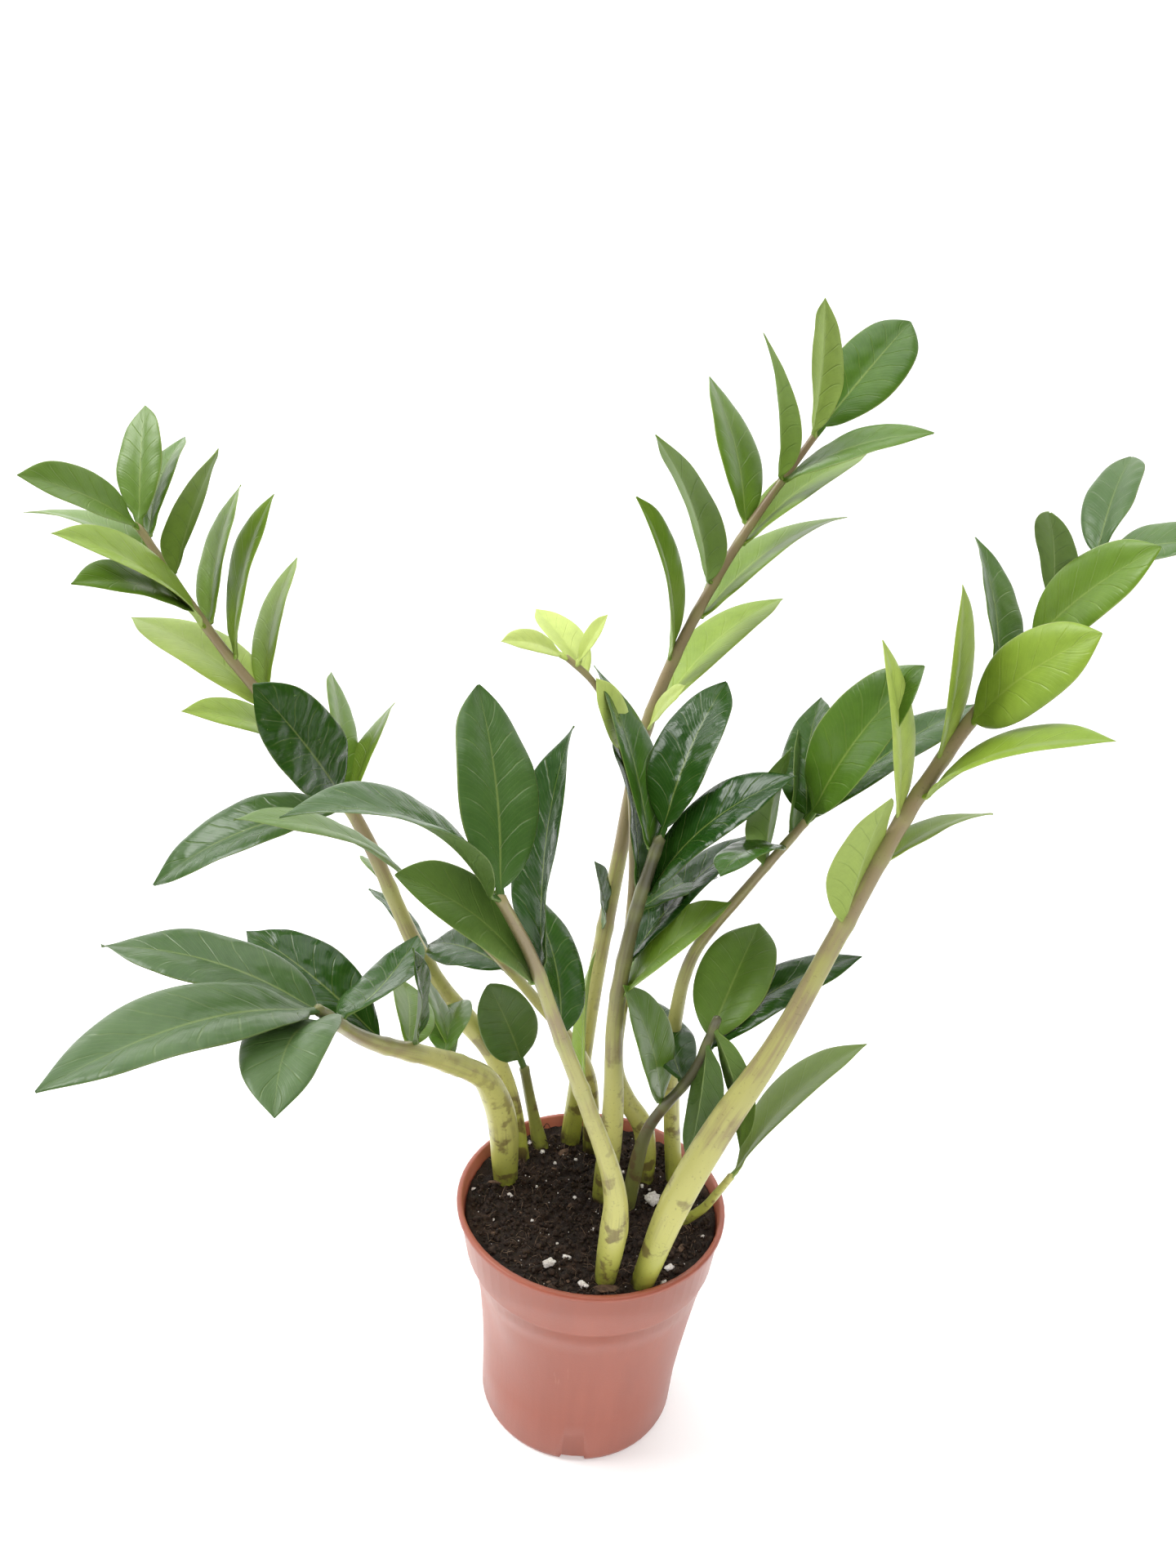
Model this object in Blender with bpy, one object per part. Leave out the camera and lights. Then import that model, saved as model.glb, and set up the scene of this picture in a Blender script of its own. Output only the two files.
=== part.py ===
"""A potted ZZ plant: a thin plastic nursery pot, its soil, twelve arching stems and their larger leaflets.

Lengths are millimetres here and become metres when a mesh is made. The origin is the middle of the pot's
flat underside, +Z is up and -Y is the front. Every stem and leaflet is one closed solid of its own.
"""

import math

import bmesh
import bpy
import numpy as np
from mathutils import Vector

MM = 0.001

# Pot
POT_HEIGHT = 121.0
RIM_RADIUS = 65.0
BASE_RADIUS = 48.5
BODY_CURVE = 2.2
BODY_SHARES = (0.25, 0.45, 0.65, 0.82)
POT_WALL = 1.4
COLLAR_HEIGHT = 28.0
COLLAR_STEP = 1.6
COLLAR_TAPER = 3.0
LIP_HEIGHT = 3.0
LIP_OUT = 1.2
FLOOR_RISE = 4.5
FLOOR_WALL = 1.6
FOOT_WIDTH = 4.0
NOTCH_COUNT = 4
NOTCH_WIDTH = 14.0
PAD_RADIUS = 12.0
DRAIN_COUNT = 6
DRAIN_RADIUS = 3.5
DRAIN_INSET = 17.0
DENTS = ((232.0, 0.35, 2.8, 26.0), (340.0, -0.20, -1.8, 30.0))
POT_SIDES = 64

# Soil
WATER_SPACE = 8.0
SOIL_GAP = 0.5
SOIL_SWELL = 1.6
SOCKET_DEPTH = 16.0
SOCKET_GAP = 0.4
SOIL_EDGE = 3.0

# Stems and leaflets
STEM_GIRTH = 1.0
STEM_SIDES = 8
STEM_PITCH = 17.0
LEAF_THICK = 1.3
LEAF_GAP = 0.4
LEAF_FOLD = 18.0
LEAF_STATIONS = (0.05, 0.16, 0.32, 0.50, 0.68, 0.84, 0.95)
BLADE_PEAK = 0.46

# name: foot on the soil (x, y), thickness at each of GIRTH_SHARES of the way up, then the way from the foot
GIRTH_SHARES = (0.0, 0.125, 0.25, 0.4, 1.0)
STEMS = {
    "low_left": ((-43, 18), (12.0, 14.5, 14.0, 10.0, 4.0),
                 [(-4, -14, 53), (-12, -26, 80), (-25, -40, 96), (-53, -83, 135), (-64, -123, 175)]),
    "tall_left": ((-36, 35), (7.5, 9.0, 11.5, 7.5, 3.2),
                  [(-7, 0, 35), (-20, 1, 66), (-40, 3, 89), (-92, 9, 190), (-154, 18, 264), (-185, 25, 307)]),
    "dark_back": ((-27.5, 45.5), (8.6, 7.8, 6.6, 5.8, 5.0), [(-6, -1, 27), (-10.5, -2.5, 50)]),
    "tall_centre": ((-12, 51), (10.5, 9.5, 8.5, 7.6, 3.2),
                    [(6, 6, 90), (13, 13, 156), (23, 24, 232), (37, 33, 271), (54, 42, 306), (88, 59, 360)]),
    "centre": ((6, 9), (11.0, 12.0, 10.5, 8.5, 5.0), [(1, -1, 50), (-2, -3, 111), (3, -6, 166), (10, -9, 203)]),
    "front": ((8, -45), (9.5, 13.4, 9.5, 7.5, 4.0),
              [(1, -6, 51), (-15, -16, 108), (-29, -28, 152), (-40, -40, 190), (-52, -55, 223)]),
    "behind_front": ((-1, 45), (8.0, 8.0, 6.5, 5.5, 3.0), [(-5, -12, 57), (-34, -37, 115), (-79, -105, 207)]),
    "young": ((27, 27), (10.0, 10.5, 7.5, 5.5, 2.6),
              [(-3, -1, 30), (-17, -1, 55), (-19, 1, 114), (-20, 5, 177), (-27, 8, 222), (-45, 11, 258),
               (-58, 13, 268)]),
    "small_right": ((18, 4), (7.5, 7.5, 6.8, 5.2, 3.8), [(6, -7, 54), (22, -20, 96), (28, -34, 135)]),
    "inner_right": ((42, 26), (9.0, 8.0, 8.0, 7.0, 3.4),
                    [(-5, 0, 39), (-9, -4, 92), (-4, -10, 139), (12, -15, 171), (35, -26, 216)]),
    "tall_right": ((25.5, -47), (10.5, 14.0, 13.5, 9.0, 3.6),
                   [(11.5, -2, 52), (26.5, 1, 90), (43.5, 4, 126), (63.5, 11, 177), (89.5, 22, 240),
                    (124.5, 37, 299), (148.5, 48, 334)]),
    "shoot_right": ((43, -5), (5.0, 5.0, 4.6, 4.2, 3.4), [(6, -2, 7), (20, -15, 44)]),
}

# stem: leaflets as (name, place along the stem, heading, rise, length, width, roll, bow, bluntness)
# heading turns from +X towards +Y, rise is up from level, bow is the arch as a share of the length
LEAVES = {
    "tall_left": [
        ("tip", 0.995, 99, 56, 54, 25, -25, 0.05, 0.2),
        ("tip_left", 0.995, -122, 27, 60, 26, -45, 0.07, 0.1),
        ("upper_back", 0.977, 87, 37, 60, 28, -30, 0.06, 0.1),
        ("upper_right", 0.85, 88, 47, 72, 29, -45, 0.05, 0.0),
        ("long_left", 0.947, 161, 9, 72, 29, 5, 0.09, 0.0),
        ("low_front", 0.852, -123, 36, 86, 34, -30, 0.08, 0.0),
        ("light_left", 0.72, 155, 19, 84, 40, 0, 0.07, 0.0),
        ("pale_front", 0.642, -128, 31, 76, 27, -20, 0.08, 0.0),
        ("dark_wide", 0.58, -127, 54, 78, 37, -85, 0.04, 0.5),
        ("drooping", 0.579, -162, -22, 90, 42, -10, 0.1, 0.1),
    ],
    "low_left": [
        ("upper", 0.95, 178, 14, 82, 37, -5, 0.08, 0.0),
        ("long", 1.0, -130, 9, 100, 43, -5, 0.1, 0.1),
        ("hanging", 0.945, -90, 10, 72, 34, 10, 0.12, 0.3),
        ("wavy", 0.682, 159, 27, 72, 33, -10, 0.08, 0.2),
        ("cupped", 0.9, 73, 1, 64, 31, -25, -0.08, 0.2),
    ],
    "dark_back": [
        ("broad", 0.99, -150, 68, 52, 31, -90, 0.06, 0.7),
    ],
    "front": [
        ("upright", 0.995, 108, 51, 76, 37, 20, 0.05, 0.35),
        ("arching", 0.992, -144, 31, 88, 38, -5, 0.16, 0.0),
        ("blunt", 0.76, -152, 45, 76, 35, -25, 0.08, 0.45),
        ("tall_back", 0.787, 81, 69, 91, 40, -55, 0.05, 0.0),
    ],
    "behind_front": [
        ("pale", 1.0, -144, 29, 74, 31, 0, 0.08, 0.0),
    ],
    "tall_centre": [
        ("tip", 0.995, -106, 68, 62, 28, -50, 0.05, 0.0),
        ("tip_right", 1.0, 41, 41, 70, 35, 30, 0.06, 0.6),
        ("upper_left", 0.93, -119, 58, 74, 32, -45, 0.06, 0.0),
        ("upper_right", 0.93, -39, 24, 74, 29, 30, 0.07, 0.0),
        ("mid_right", 0.83, 34, 29, 80, 31, -5, 0.08, 0.0),
        ("back_left", 0.86, 117, 53, 74, 35, 20, 0.05, 0.2),
        ("mid_left", 0.78, -141, 59, 78, 35, -10, 0.07, 0.0),
        ("low_right", 0.73, 30, 29, 90, 38, -5, 0.09, 0.0),
        ("lowest_right", 0.6, 39, 32, 90, 36, -10, 0.08, 0.0),
    ],
    "centre": [
        ("tip", 0.945, 126, 53, 84, 36, 25, 0.06, 0.0),
        ("wide", 1.0, 60, 48, 72, 34, -10, 0.06, 0.3),
        ("front_right", 0.83, -15, 50, 86, 36, 25, 0.09, 0.0),
        ("mid_right", 0.66, 35, 34, 88, 36, -20, 0.08, 0.0),
    ],
    "inner_right": [
        ("broad", 1.0, -28, 64, 80, 39, 55, 0.07, 0.4),
        ("dark_behind", 0.995, 25, 30, 90, 36, -10, 0.07, 0.0),
    ],
    "tall_right": [
        ("tip", 0.995, 62, 39, 52, 24, -30, 0.05, 0.7),
        ("tip_right", 0.995, -69, 21, 52, 25, 45, 0.06, 0.3),
        ("tip_left", 0.93, -127, 55, 48, 23, -25, 0.05, 0.7),
        ("front", 0.882, -62, 46, 68, 32, 75, 0.05, 0.35),
        ("back", 0.84, 96, 42, 64, 31, 35, 0.05, 0.1),
        ("light", 0.782, -54, 47, 66, 33, 75, 0.06, 0.35),
        ("pale", 0.69, -43, 34, 80, 32, 15, 0.1, 0.0),
    ],
    "small_right": [
        ("broad", 0.86, 62, 39, 58, 37, 0, 0.08, 0.4),
        ("twisted", 0.824, 18, 30, 78, 33, -5, 0.09, 0.0),
    ],
    "shoot_right": [
        ("pale", 0.985, 23, 44, 84, 37, -25, 0.08, 0.0),
    ],
}


def clear_scene():
    for obj in list(bpy.data.objects):
        bpy.data.objects.remove(obj, do_unlink=True)


def material(name, colour, roughness, metallic=0.0):
    made = bpy.data.materials.new(name)
    made.use_nodes = True
    shader = made.node_tree.nodes["Principled BSDF"]
    shader.inputs["Base Color"].default_value = (*colour, 1.0)
    shader.inputs["Roughness"].default_value = roughness
    shader.inputs["Metallic"].default_value = metallic
    return made


def add_object(name, points, faces, surface, smooth_below=35.0):
    """An object from points in millimetres, placed at the first point so that it turns about its own base."""
    origin = Vector(points[0]) * MM
    mesh = bpy.data.meshes.new(name)
    mesh.from_pydata([tuple(Vector(p) * MM - origin) for p in points], [], faces)
    build = bmesh.new()
    build.from_mesh(mesh)
    bmesh.ops.recalc_face_normals(build, faces=build.faces)
    if build.calc_volume(signed=True) < 0:
        bmesh.ops.reverse_faces(build, faces=build.faces)
    build.to_mesh(mesh)
    build.free()
    mesh.polygons.foreach_set("use_smooth", [True] * len(mesh.polygons))
    mesh.set_sharp_from_angle(angle=math.radians(smooth_below))
    mesh.materials.append(surface)
    obj = bpy.data.objects.new(name, mesh)
    obj.location = origin
    bpy.context.scene.collection.objects.link(obj)
    return obj


def rings_to_faces(rings, sides):
    """Quads between neighbouring rings whose points follow each other in one list, from index 0."""
    faces = []
    for ring in range(rings - 1):
        for side in range(sides):
            a = ring * sides + side
            b = ring * sides + (side + 1) % sides
            faces.append((a, b, b + sides, a + sides))
    return faces


# Pot


def dent(heading, height):
    """How far the thin wall is pushed in at a heading (degrees) and height, nothing at the foot and rim.

    Each of DENTS is a heading at the foot, its lean in degrees a millimetre, a depth and a spread.
    """
    along = math.sin(math.pi * min(max(height / POT_HEIGHT, 0.0), 1.0))
    pushed = 0.0
    for middle, lean, depth, spread in DENTS:
        across = (heading - middle + height * lean + 180.0) % 360.0 - 180.0
        pushed += depth * math.exp(-((across / spread) ** 2)) * along**2
    return pushed


def body_place(share, inset):
    """A place on the pot's flaring body, as (radius, height): share 0 is its foot and 1 its shoulder."""
    shoulder = POT_HEIGHT - COLLAR_HEIGHT
    body_top = RIM_RADIUS - LIP_OUT - COLLAR_TAPER - COLLAR_STEP
    flare = (body_top - BASE_RADIUS) * share**BODY_CURVE
    return (BASE_RADIUS + flare - inset, 3.0 + (shoulder - 3.0) * share)


def pot_profile():
    """The wall's section as (radius, height): outside from the foot up, over the lip, and down the inside."""
    shoulder = POT_HEIGHT - COLLAR_HEIGHT
    collar_low = RIM_RADIUS - LIP_OUT - COLLAR_TAPER
    body_top = collar_low - COLLAR_STEP
    outside = [
        (BASE_RADIUS - 3.0, 0.0),
        (BASE_RADIUS - 0.8, 0.8),
        (BASE_RADIUS, 3.0),
    ]
    for share in (*BODY_SHARES, 1.0):
        outside.append(body_place(share, 0.0))
    outside += [
        (collar_low - 0.6, shoulder + 0.8),
        (collar_low, shoulder + 2.4),
        (RIM_RADIUS - LIP_OUT, POT_HEIGHT - LIP_HEIGHT),
        (RIM_RADIUS, POT_HEIGHT - LIP_HEIGHT + 0.8),
        (RIM_RADIUS, POT_HEIGHT - 0.6),
        (RIM_RADIUS - 0.6, POT_HEIGHT),
    ]
    inside = [
        (RIM_RADIUS - LIP_OUT - POT_WALL, POT_HEIGHT),
        (collar_low - POT_WALL, shoulder + 2.4),
        (body_top - POT_WALL, shoulder - 1.0),
    ]
    for share in reversed(BODY_SHARES):
        inside.append(body_place(share, POT_WALL))
    inside.append((BASE_RADIUS - POT_WALL + 0.2, FLOOR_RISE + FLOOR_WALL))
    under = [
        (PAD_RADIUS, FLOOR_RISE + FLOOR_WALL),
        (PAD_RADIUS + 1.0, FLOOR_RISE),
        (BASE_RADIUS - 3.0 - FOOT_WIDTH, FLOOR_RISE),
        (BASE_RADIUS - 3.0 - FOOT_WIDTH + 0.6, 0.0),
    ]
    return outside + inside, under


def spun(section, heading):
    radius, height = section
    inward = radius - dent(math.degrees(heading), height)
    return (inward * math.cos(heading), inward * math.sin(heading), height)


def notch_cutter(index):
    """A wedge-sided block through the foot ring."""
    turn = math.radians(270.0 + index * 360.0 / NOTCH_COUNT)
    reach = (BASE_RADIUS - 3.0 - FOOT_WIDTH - 3.0, BASE_RADIUS + 6.0)
    corners = []
    for out in reach:
        for side, low in ((-1, True), (1, True), (1, False), (-1, False)):
            half = NOTCH_WIDTH / 2 if low else NOTCH_WIDTH / 2 - 1.5
            height = -3.0 if low else FLOOR_RISE - 0.6
            corners.append((
                out * math.cos(turn) - side * half * math.sin(turn),
                out * math.sin(turn) + side * half * math.cos(turn),
                height,
            ))
    faces = [(0, 1, 2, 3), (7, 6, 5, 4), (0, 4, 5, 1), (1, 5, 6, 2), (2, 6, 7, 3), (3, 7, 4, 0)]
    return corners, faces


def drain_cutter(index):
    turn = math.radians(30.0 + index * 360.0 / DRAIN_COUNT)
    ring = BASE_RADIUS - DRAIN_INSET
    centre = (ring * math.cos(turn), ring * math.sin(turn))
    points = []
    for height in (FLOOR_RISE - 3.0, FLOOR_RISE + FLOOR_WALL + 3.0):
        for step in range(12):
            angle = 2 * math.pi * step / 12
            points.append((
                centre[0] + DRAIN_RADIUS * math.cos(angle),
                centre[1] + DRAIN_RADIUS * math.sin(angle),
                height,
            ))
    faces = rings_to_faces(2, 12) + [tuple(range(11, -1, -1)), tuple(range(12, 24))]
    return points, faces


def cut(target, name, points, faces):
    cutter = add_object(name, points, faces, target.data.materials[0])
    cutter.hide_render = True
    cutter.display_type = "WIRE"
    boolean = target.modifiers.new(name, "BOOLEAN")
    boolean.operation = "DIFFERENCE"
    boolean.solver = "EXACT"
    boolean.object = cutter


def make_pot(surface):
    wall, under = pot_profile()
    section = wall + under
    points = []
    for place in section:
        for side in range(POT_SIDES):
            points.append(spun(place, 2 * math.pi * side / POT_SIDES))
    faces = rings_to_faces(len(section), POT_SIDES)
    # The floor stands on a low central pad, so its two faces meet the ring list inside the pad's radius.
    first_inner = (len(wall)) * POT_SIDES
    faces = [face for face in faces if not (face[0] >= first_inner and face[0] < first_inner + POT_SIDES)]
    top_ring = list(range(first_inner, first_inner + POT_SIDES))
    faces.append(tuple(top_ring))
    pad_start = len(points)
    for side in range(POT_SIDES):
        turn = 2 * math.pi * side / POT_SIDES
        points.append((PAD_RADIUS * math.cos(turn), PAD_RADIUS * math.sin(turn), 0.0))
    under_start = first_inner + POT_SIDES
    for side in range(POT_SIDES):
        following = (side + 1) % POT_SIDES
        faces.append((pad_start + side, pad_start + following, under_start + following, under_start + side))
    faces.append(tuple(range(pad_start, pad_start + POT_SIDES)))
    foot_start = (len(section) - 1) * POT_SIDES
    for side in range(POT_SIDES):
        following = (side + 1) % POT_SIDES
        faces.append((foot_start + side, foot_start + following, following, side))
    pot = add_object("pot", points, faces, surface, 40.0)
    for index in range(NOTCH_COUNT):
        cut(pot, f"pot_notch_{index + 1}", *notch_cutter(index))
    for index in range(DRAIN_COUNT):
        cut(pot, f"pot_drain_{index + 1}", *drain_cutter(index))
    return pot


# Soil


def soil_level():
    return POT_HEIGHT - WATER_SPACE


def soil_radius():
    """The soil's radius where it shows: the collar's inner face at that height, less the gap."""
    low = POT_HEIGHT - COLLAR_HEIGHT + 2.4
    share = (soil_level() - SOIL_EDGE - low) / (POT_HEIGHT - low)
    return RIM_RADIUS - LIP_OUT - COLLAR_TAPER * (1.0 - share) - POT_WALL - SOIL_GAP


def make_soil(surface):
    shoulder = POT_HEIGHT - COLLAR_HEIGHT
    collar_low = RIM_RADIUS - LIP_OUT - COLLAR_TAPER
    body_top = collar_low - COLLAR_STEP
    inner = POT_WALL + SOIL_GAP
    floor = FLOOR_RISE + FLOOR_WALL + SOIL_GAP
    level = soil_level()
    section = [(BASE_RADIUS - inner - 0.4, floor)]
    for share in BODY_SHARES:
        section.append(body_place(share, inner))
    section += [
        (body_top - inner, shoulder - 1.0),
        (collar_low - inner, shoulder + 2.4 + SOIL_GAP),
        (soil_radius(), level - SOIL_EDGE),
        (soil_radius() - 4.0, level - 0.8),
        (soil_radius() * 0.62, level),
        (soil_radius() * 0.30, level + SOIL_SWELL * 0.5),
    ]
    points = []
    for place in section:
        for side in range(POT_SIDES // 2):
            turn = 4 * math.pi * side / POT_SIDES
            x, y, z = spun(place, turn)
            if place[1] > level - SOIL_EDGE:
                z += 0.5 * SOIL_SWELL * math.sin(3 * turn + place[0] * 0.2)
            points.append((x, y, z))
    sides = POT_SIDES // 2
    faces = rings_to_faces(len(section), sides)
    faces.append(tuple(range(sides)))
    faces.append(tuple(range(len(points) - sides, len(points))))
    soil = add_object("soil", points, faces, surface, 50.0)
    for name in STEMS:
        rings = stem_rings(name, SOCKET_GAP, SOCKET_DEPTH + SOCKET_GAP, 14.0)
        cut(soil, f"soil_socket_{name}", *tube(rings))
    return soil


# Stems


def foot_place(name):
    """A stem's foot, drawn in where the soil is too narrow for it."""
    (x, y), girths, _way = STEMS[name]
    most = soil_radius() - 0.5 * max(girths[:2]) * STEM_GIRTH - SOCKET_GAP - 1.2
    reach = math.hypot(x, y)
    share = min(1.0, most / reach)
    return np.array([x * share, y * share, soil_level()])


def smooth_way(points):
    """The curve through the points, close-spaced, with its share of the whole length at each place."""
    places = np.array(points, float)
    gaps = np.linalg.norm(np.diff(places, axis=0), axis=1)
    along = np.concatenate([[0.0], np.cumsum(gaps)])
    slopes = np.diff(places, axis=0) / gaps[:, None]
    tangents = np.vstack([slopes[:1], slopes[-1:]])
    if len(places) > 2:
        after = gaps[1:, None]
        before = gaps[:-1, None]
        middle = (slopes[:-1] * after + slopes[1:] * before) / (before + after)
        tangents = np.vstack([slopes[:1], middle, slopes[-1:]])
    at = np.linspace(0.0, along[-1], 400)
    part = np.clip(np.searchsorted(along, at, side="right") - 1, 0, len(gaps) - 1)
    span = gaps[part][:, None]
    u = (at - along[part])[:, None] / span
    curve = (
        (2 * u**3 - 3 * u**2 + 1) * places[part]
        + (u**3 - 2 * u**2 + u) * span * tangents[part]
        + (3 * u**2 - 2 * u**3) * places[part + 1]
        + (u**3 - u**2) * span * tangents[part + 1]
    )
    length = np.concatenate([[0.0], np.cumsum(np.linalg.norm(np.diff(curve, axis=0), axis=1))])
    return curve, length


def stem_curve(name):
    foot = foot_place(name)
    way = [np.zeros(3)] + [np.array(p, float) for p in STEMS[name][2]]
    curve, length = smooth_way(way)
    return curve + foot, length


def stem_radius(name, share):
    """Half the stem's thickness at a share of its length: it swells above the foot, then thins to its tip."""
    return 0.5 * STEM_GIRTH * float(np.interp(share, GIRTH_SHARES, STEMS[name][1]))


def stem_at(name, share):
    """A point on a stem's middle line, its direction there and the stem's radius."""
    curve, length = stem_curve(name)
    at = share * length[-1]
    point = np.array([np.interp(at, length, curve[:, k]) for k in range(3)])
    ahead = np.array([np.interp(min(at + 1.0, length[-1]), length, curve[:, k]) for k in range(3)])
    behind = np.array([np.interp(max(at - 1.0, 0.0), length, curve[:, k]) for k in range(3)])
    direction = (ahead - behind) / np.linalg.norm(ahead - behind)
    return point, direction, stem_radius(name, share)


def stem_rings(name, grow, below, above=None):
    """Rings of points round a stem, from below the soil up to its tip, or to a height just above the soil."""
    curve, length = stem_curve(name)
    start = curve[0]
    first = (curve[6] - start) / np.linalg.norm(curve[6] - start)
    top = length[-1] if above is None else above
    steps = max(2, round(top / STEM_PITCH))
    places = [(start - first * below, 0.0), (start - first * below * 0.45, 0.0)]
    for step in range(steps + 1):
        at = top * step / steps
        point = np.array([np.interp(at, length, curve[:, k]) for k in range(3)])
        places.append((point, at / length[-1]))
    rings = []
    side = np.array([0.0, -1.0, 0.0])
    for index, (point, share) in enumerate(places):
        before = places[max(index - 1, 0)][0]
        after = places[min(index + 1, len(places) - 1)][0]
        direction = (after - before) / np.linalg.norm(after - before)
        side = side - direction * (side @ direction)
        side /= np.linalg.norm(side)
        across = np.cross(direction, side)
        radius = stem_radius(name, share) + grow
        if index == 0:
            radius *= 0.8
        rings.append([
            point + radius * (math.cos(a) * side + math.sin(a) * across)
            for a in (2 * math.pi * k / STEM_SIDES for k in range(STEM_SIDES))
        ])
    return rings


def tube(rings):
    """A closed tube through the rings, with a pole on each end."""
    sides = len(rings[0])
    points = [tuple(p) for ring in rings for p in ring]
    faces = rings_to_faces(len(rings), sides)
    ends = []
    for ring, beyond in ((rings[0], rings[1]), (rings[-1], rings[-2])):
        middle = np.mean(ring, axis=0)
        out = middle - np.mean(beyond, axis=0)
        radius = np.linalg.norm(ring[0] - middle)
        ends.append(tuple(middle + out / np.linalg.norm(out) * radius * 0.5))
    points += ends
    low, high = len(points) - 2, len(points) - 1
    last = (len(rings) - 1) * sides
    for side in range(sides):
        following = (side + 1) % sides
        faces.append((low, following, side))
        faces.append((high, last + side, last + following))
    return points, faces


def make_stem(name, surface):
    rings = stem_rings(name, 0.0, SOCKET_DEPTH)
    points, faces = tube(rings)
    return add_object(f"stem_{name}", points, faces, surface, 60.0)


# Leaflets


def leaf_frame(heading, rise, roll):
    """The leaflet's own directions: along its midrib, across its blade, and out of its upper face."""
    h, r, t = (math.radians(v) for v in (heading, rise, roll))
    along = np.array([math.cos(r) * math.cos(h), math.cos(r) * math.sin(h), math.sin(r)])
    lifted = np.array([-math.sin(r) * math.cos(h), -math.sin(r) * math.sin(h), math.cos(r)])
    aside = np.cross(along, lifted)
    across = math.cos(t) * aside - math.sin(t) * lifted
    upper = math.cos(t) * lifted + math.sin(t) * aside
    return along, across, upper


def blade_half_width(u, blunt):
    """Half the blade's width as a share of its greatest: rounded base, widest at BLADE_PEAK, pointed tip."""
    if u < BLADE_PEAK:
        return math.sin(0.5 * math.pi * (u / BLADE_PEAK) ** 0.72)
    past = (u - BLADE_PEAK) / (1.0 - BLADE_PEAK)
    pointed = math.cos(0.5 * math.pi * past) ** 0.65
    rounded = math.sqrt(max(0.0, 1.0 - past**2.6))
    return pointed + (rounded - pointed) * blunt


def make_leaf(stem, leaf, surface):
    name, share, heading, rise, length, width, roll, bow, blunt = leaf
    along, across, upper = leaf_frame(heading, rise, roll)
    point, direction, radius = stem_at(stem, share)
    # The blade leaves the stem's surface, so its base is one radius out, measured across the stem.
    lean = abs(along @ direction)
    out = (radius + LEAF_GAP + 0.5 * LEAF_THICK) / max(math.sqrt(1.0 - lean**2), 0.45)
    if share > 0.96:
        out = max(out * 0.8, radius + LEAF_GAP + 0.6)
    base = point + along * out
    fold = math.radians(LEAF_FOLD)
    points = [tuple(base)]
    for u in LEAF_STATIONS:
        half = 0.5 * width * blade_half_width(u, blunt)
        rib = base + along * length * u + upper * bow * length * 4.0 * u * (1.0 - u)
        thick = LEAF_THICK * (1.0 - 0.35 * u)
        raised = upper * half * math.sin(fold)
        points += [
            tuple(rib - across * half * math.cos(fold) + raised),
            tuple(rib + upper * 0.5 * thick),
            tuple(rib + across * half * math.cos(fold) + raised),
            tuple(rib - upper * 0.5 * thick),
        ]
    points.append(tuple(base + along * length))
    stations = len(LEAF_STATIONS)
    faces = [tuple(v + 1 for v in face) for face in rings_to_faces(stations, 4)]
    tip = len(points) - 1
    last = 1 + (stations - 1) * 4
    for side in range(4):
        following = (side + 1) % 4
        faces.append((0, 1 + following, 1 + side))
        faces.append((tip, last + side, last + following))
    return add_object(f"leaf_{stem}_{name}", points, faces, surface, 80.0)


def main():
    clear_scene()
    terracotta = material("pot_plastic", (0.45, 0.13, 0.08), 0.55)
    peat = material("soil_peat", (0.035, 0.018, 0.013), 0.95)
    stem_pale = material("stem_pale", (0.52, 0.50, 0.24), 0.5)
    stem_dark = material("stem_dark", (0.16, 0.12, 0.09), 0.55)
    leaf_deep = material("leaf_deep", (0.02, 0.11, 0.03), 0.25)
    leaf_fresh = material("leaf_fresh", (0.16, 0.36, 0.07), 0.35)
    dark_stems = {"dark_back", "centre", "small_right"}
    fresh = {"tip", "tip_left", "light_left", "pale_front", "pale", "light", "arching"}
    make_pot(terracotta)
    make_soil(peat)
    for name in STEMS:
        make_stem(name, stem_dark if name in dark_stems else stem_pale)
    for stem, leaves in LEAVES.items():
        for leaf in leaves:
            make_leaf(stem, leaf, leaf_fresh if leaf[0] in fresh else leaf_deep)


main()
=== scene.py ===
"""The looks of a potted ZZ plant: fine leaflets, stems, peat and a nursery pot around the fixed frame."""

import math
import zlib

import bpy
import numpy as np
from mathutils import Matrix, Vector


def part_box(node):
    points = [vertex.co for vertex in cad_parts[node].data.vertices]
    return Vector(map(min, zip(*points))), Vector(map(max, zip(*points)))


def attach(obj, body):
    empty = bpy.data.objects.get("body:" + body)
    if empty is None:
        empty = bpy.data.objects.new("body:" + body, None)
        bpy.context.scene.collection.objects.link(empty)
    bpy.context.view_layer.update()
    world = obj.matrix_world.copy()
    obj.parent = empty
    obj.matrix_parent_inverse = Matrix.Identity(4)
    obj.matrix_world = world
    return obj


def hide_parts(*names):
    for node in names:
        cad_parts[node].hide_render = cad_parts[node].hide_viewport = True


BODY = "root"
MM = 0.001

# Blades: the grid, the skin's thickness, the side veins to each half and how they slant, the stalk, the
# rib's groove above and keel below, and where along the run a blade is widest
BLADE_ROWS = 46
BLADE_COLUMNS = 15
BLADE_THICK = 0.85 * MM
SIDE_VEINS = 7.0
VEIN_SLANT = 0.30
VEIN_BEND = 0.45
STALK_WIDE = 1.5 * MM
STALK_THICK = 2.3 * MM
RIB_GROOVE = 0.35 * MM
RIB_KEEL = 0.75 * MM
BLADE_PEAK = 0.46

# Strengths of the sky from the front, from behind and as the eye sees it, and of the floor's faint glow
SKY_FRONT = 0.10
SKY_BACK = 0.42
SKY_SEEN = 0.97
FLOOR_GLOW = 0.16
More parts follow.
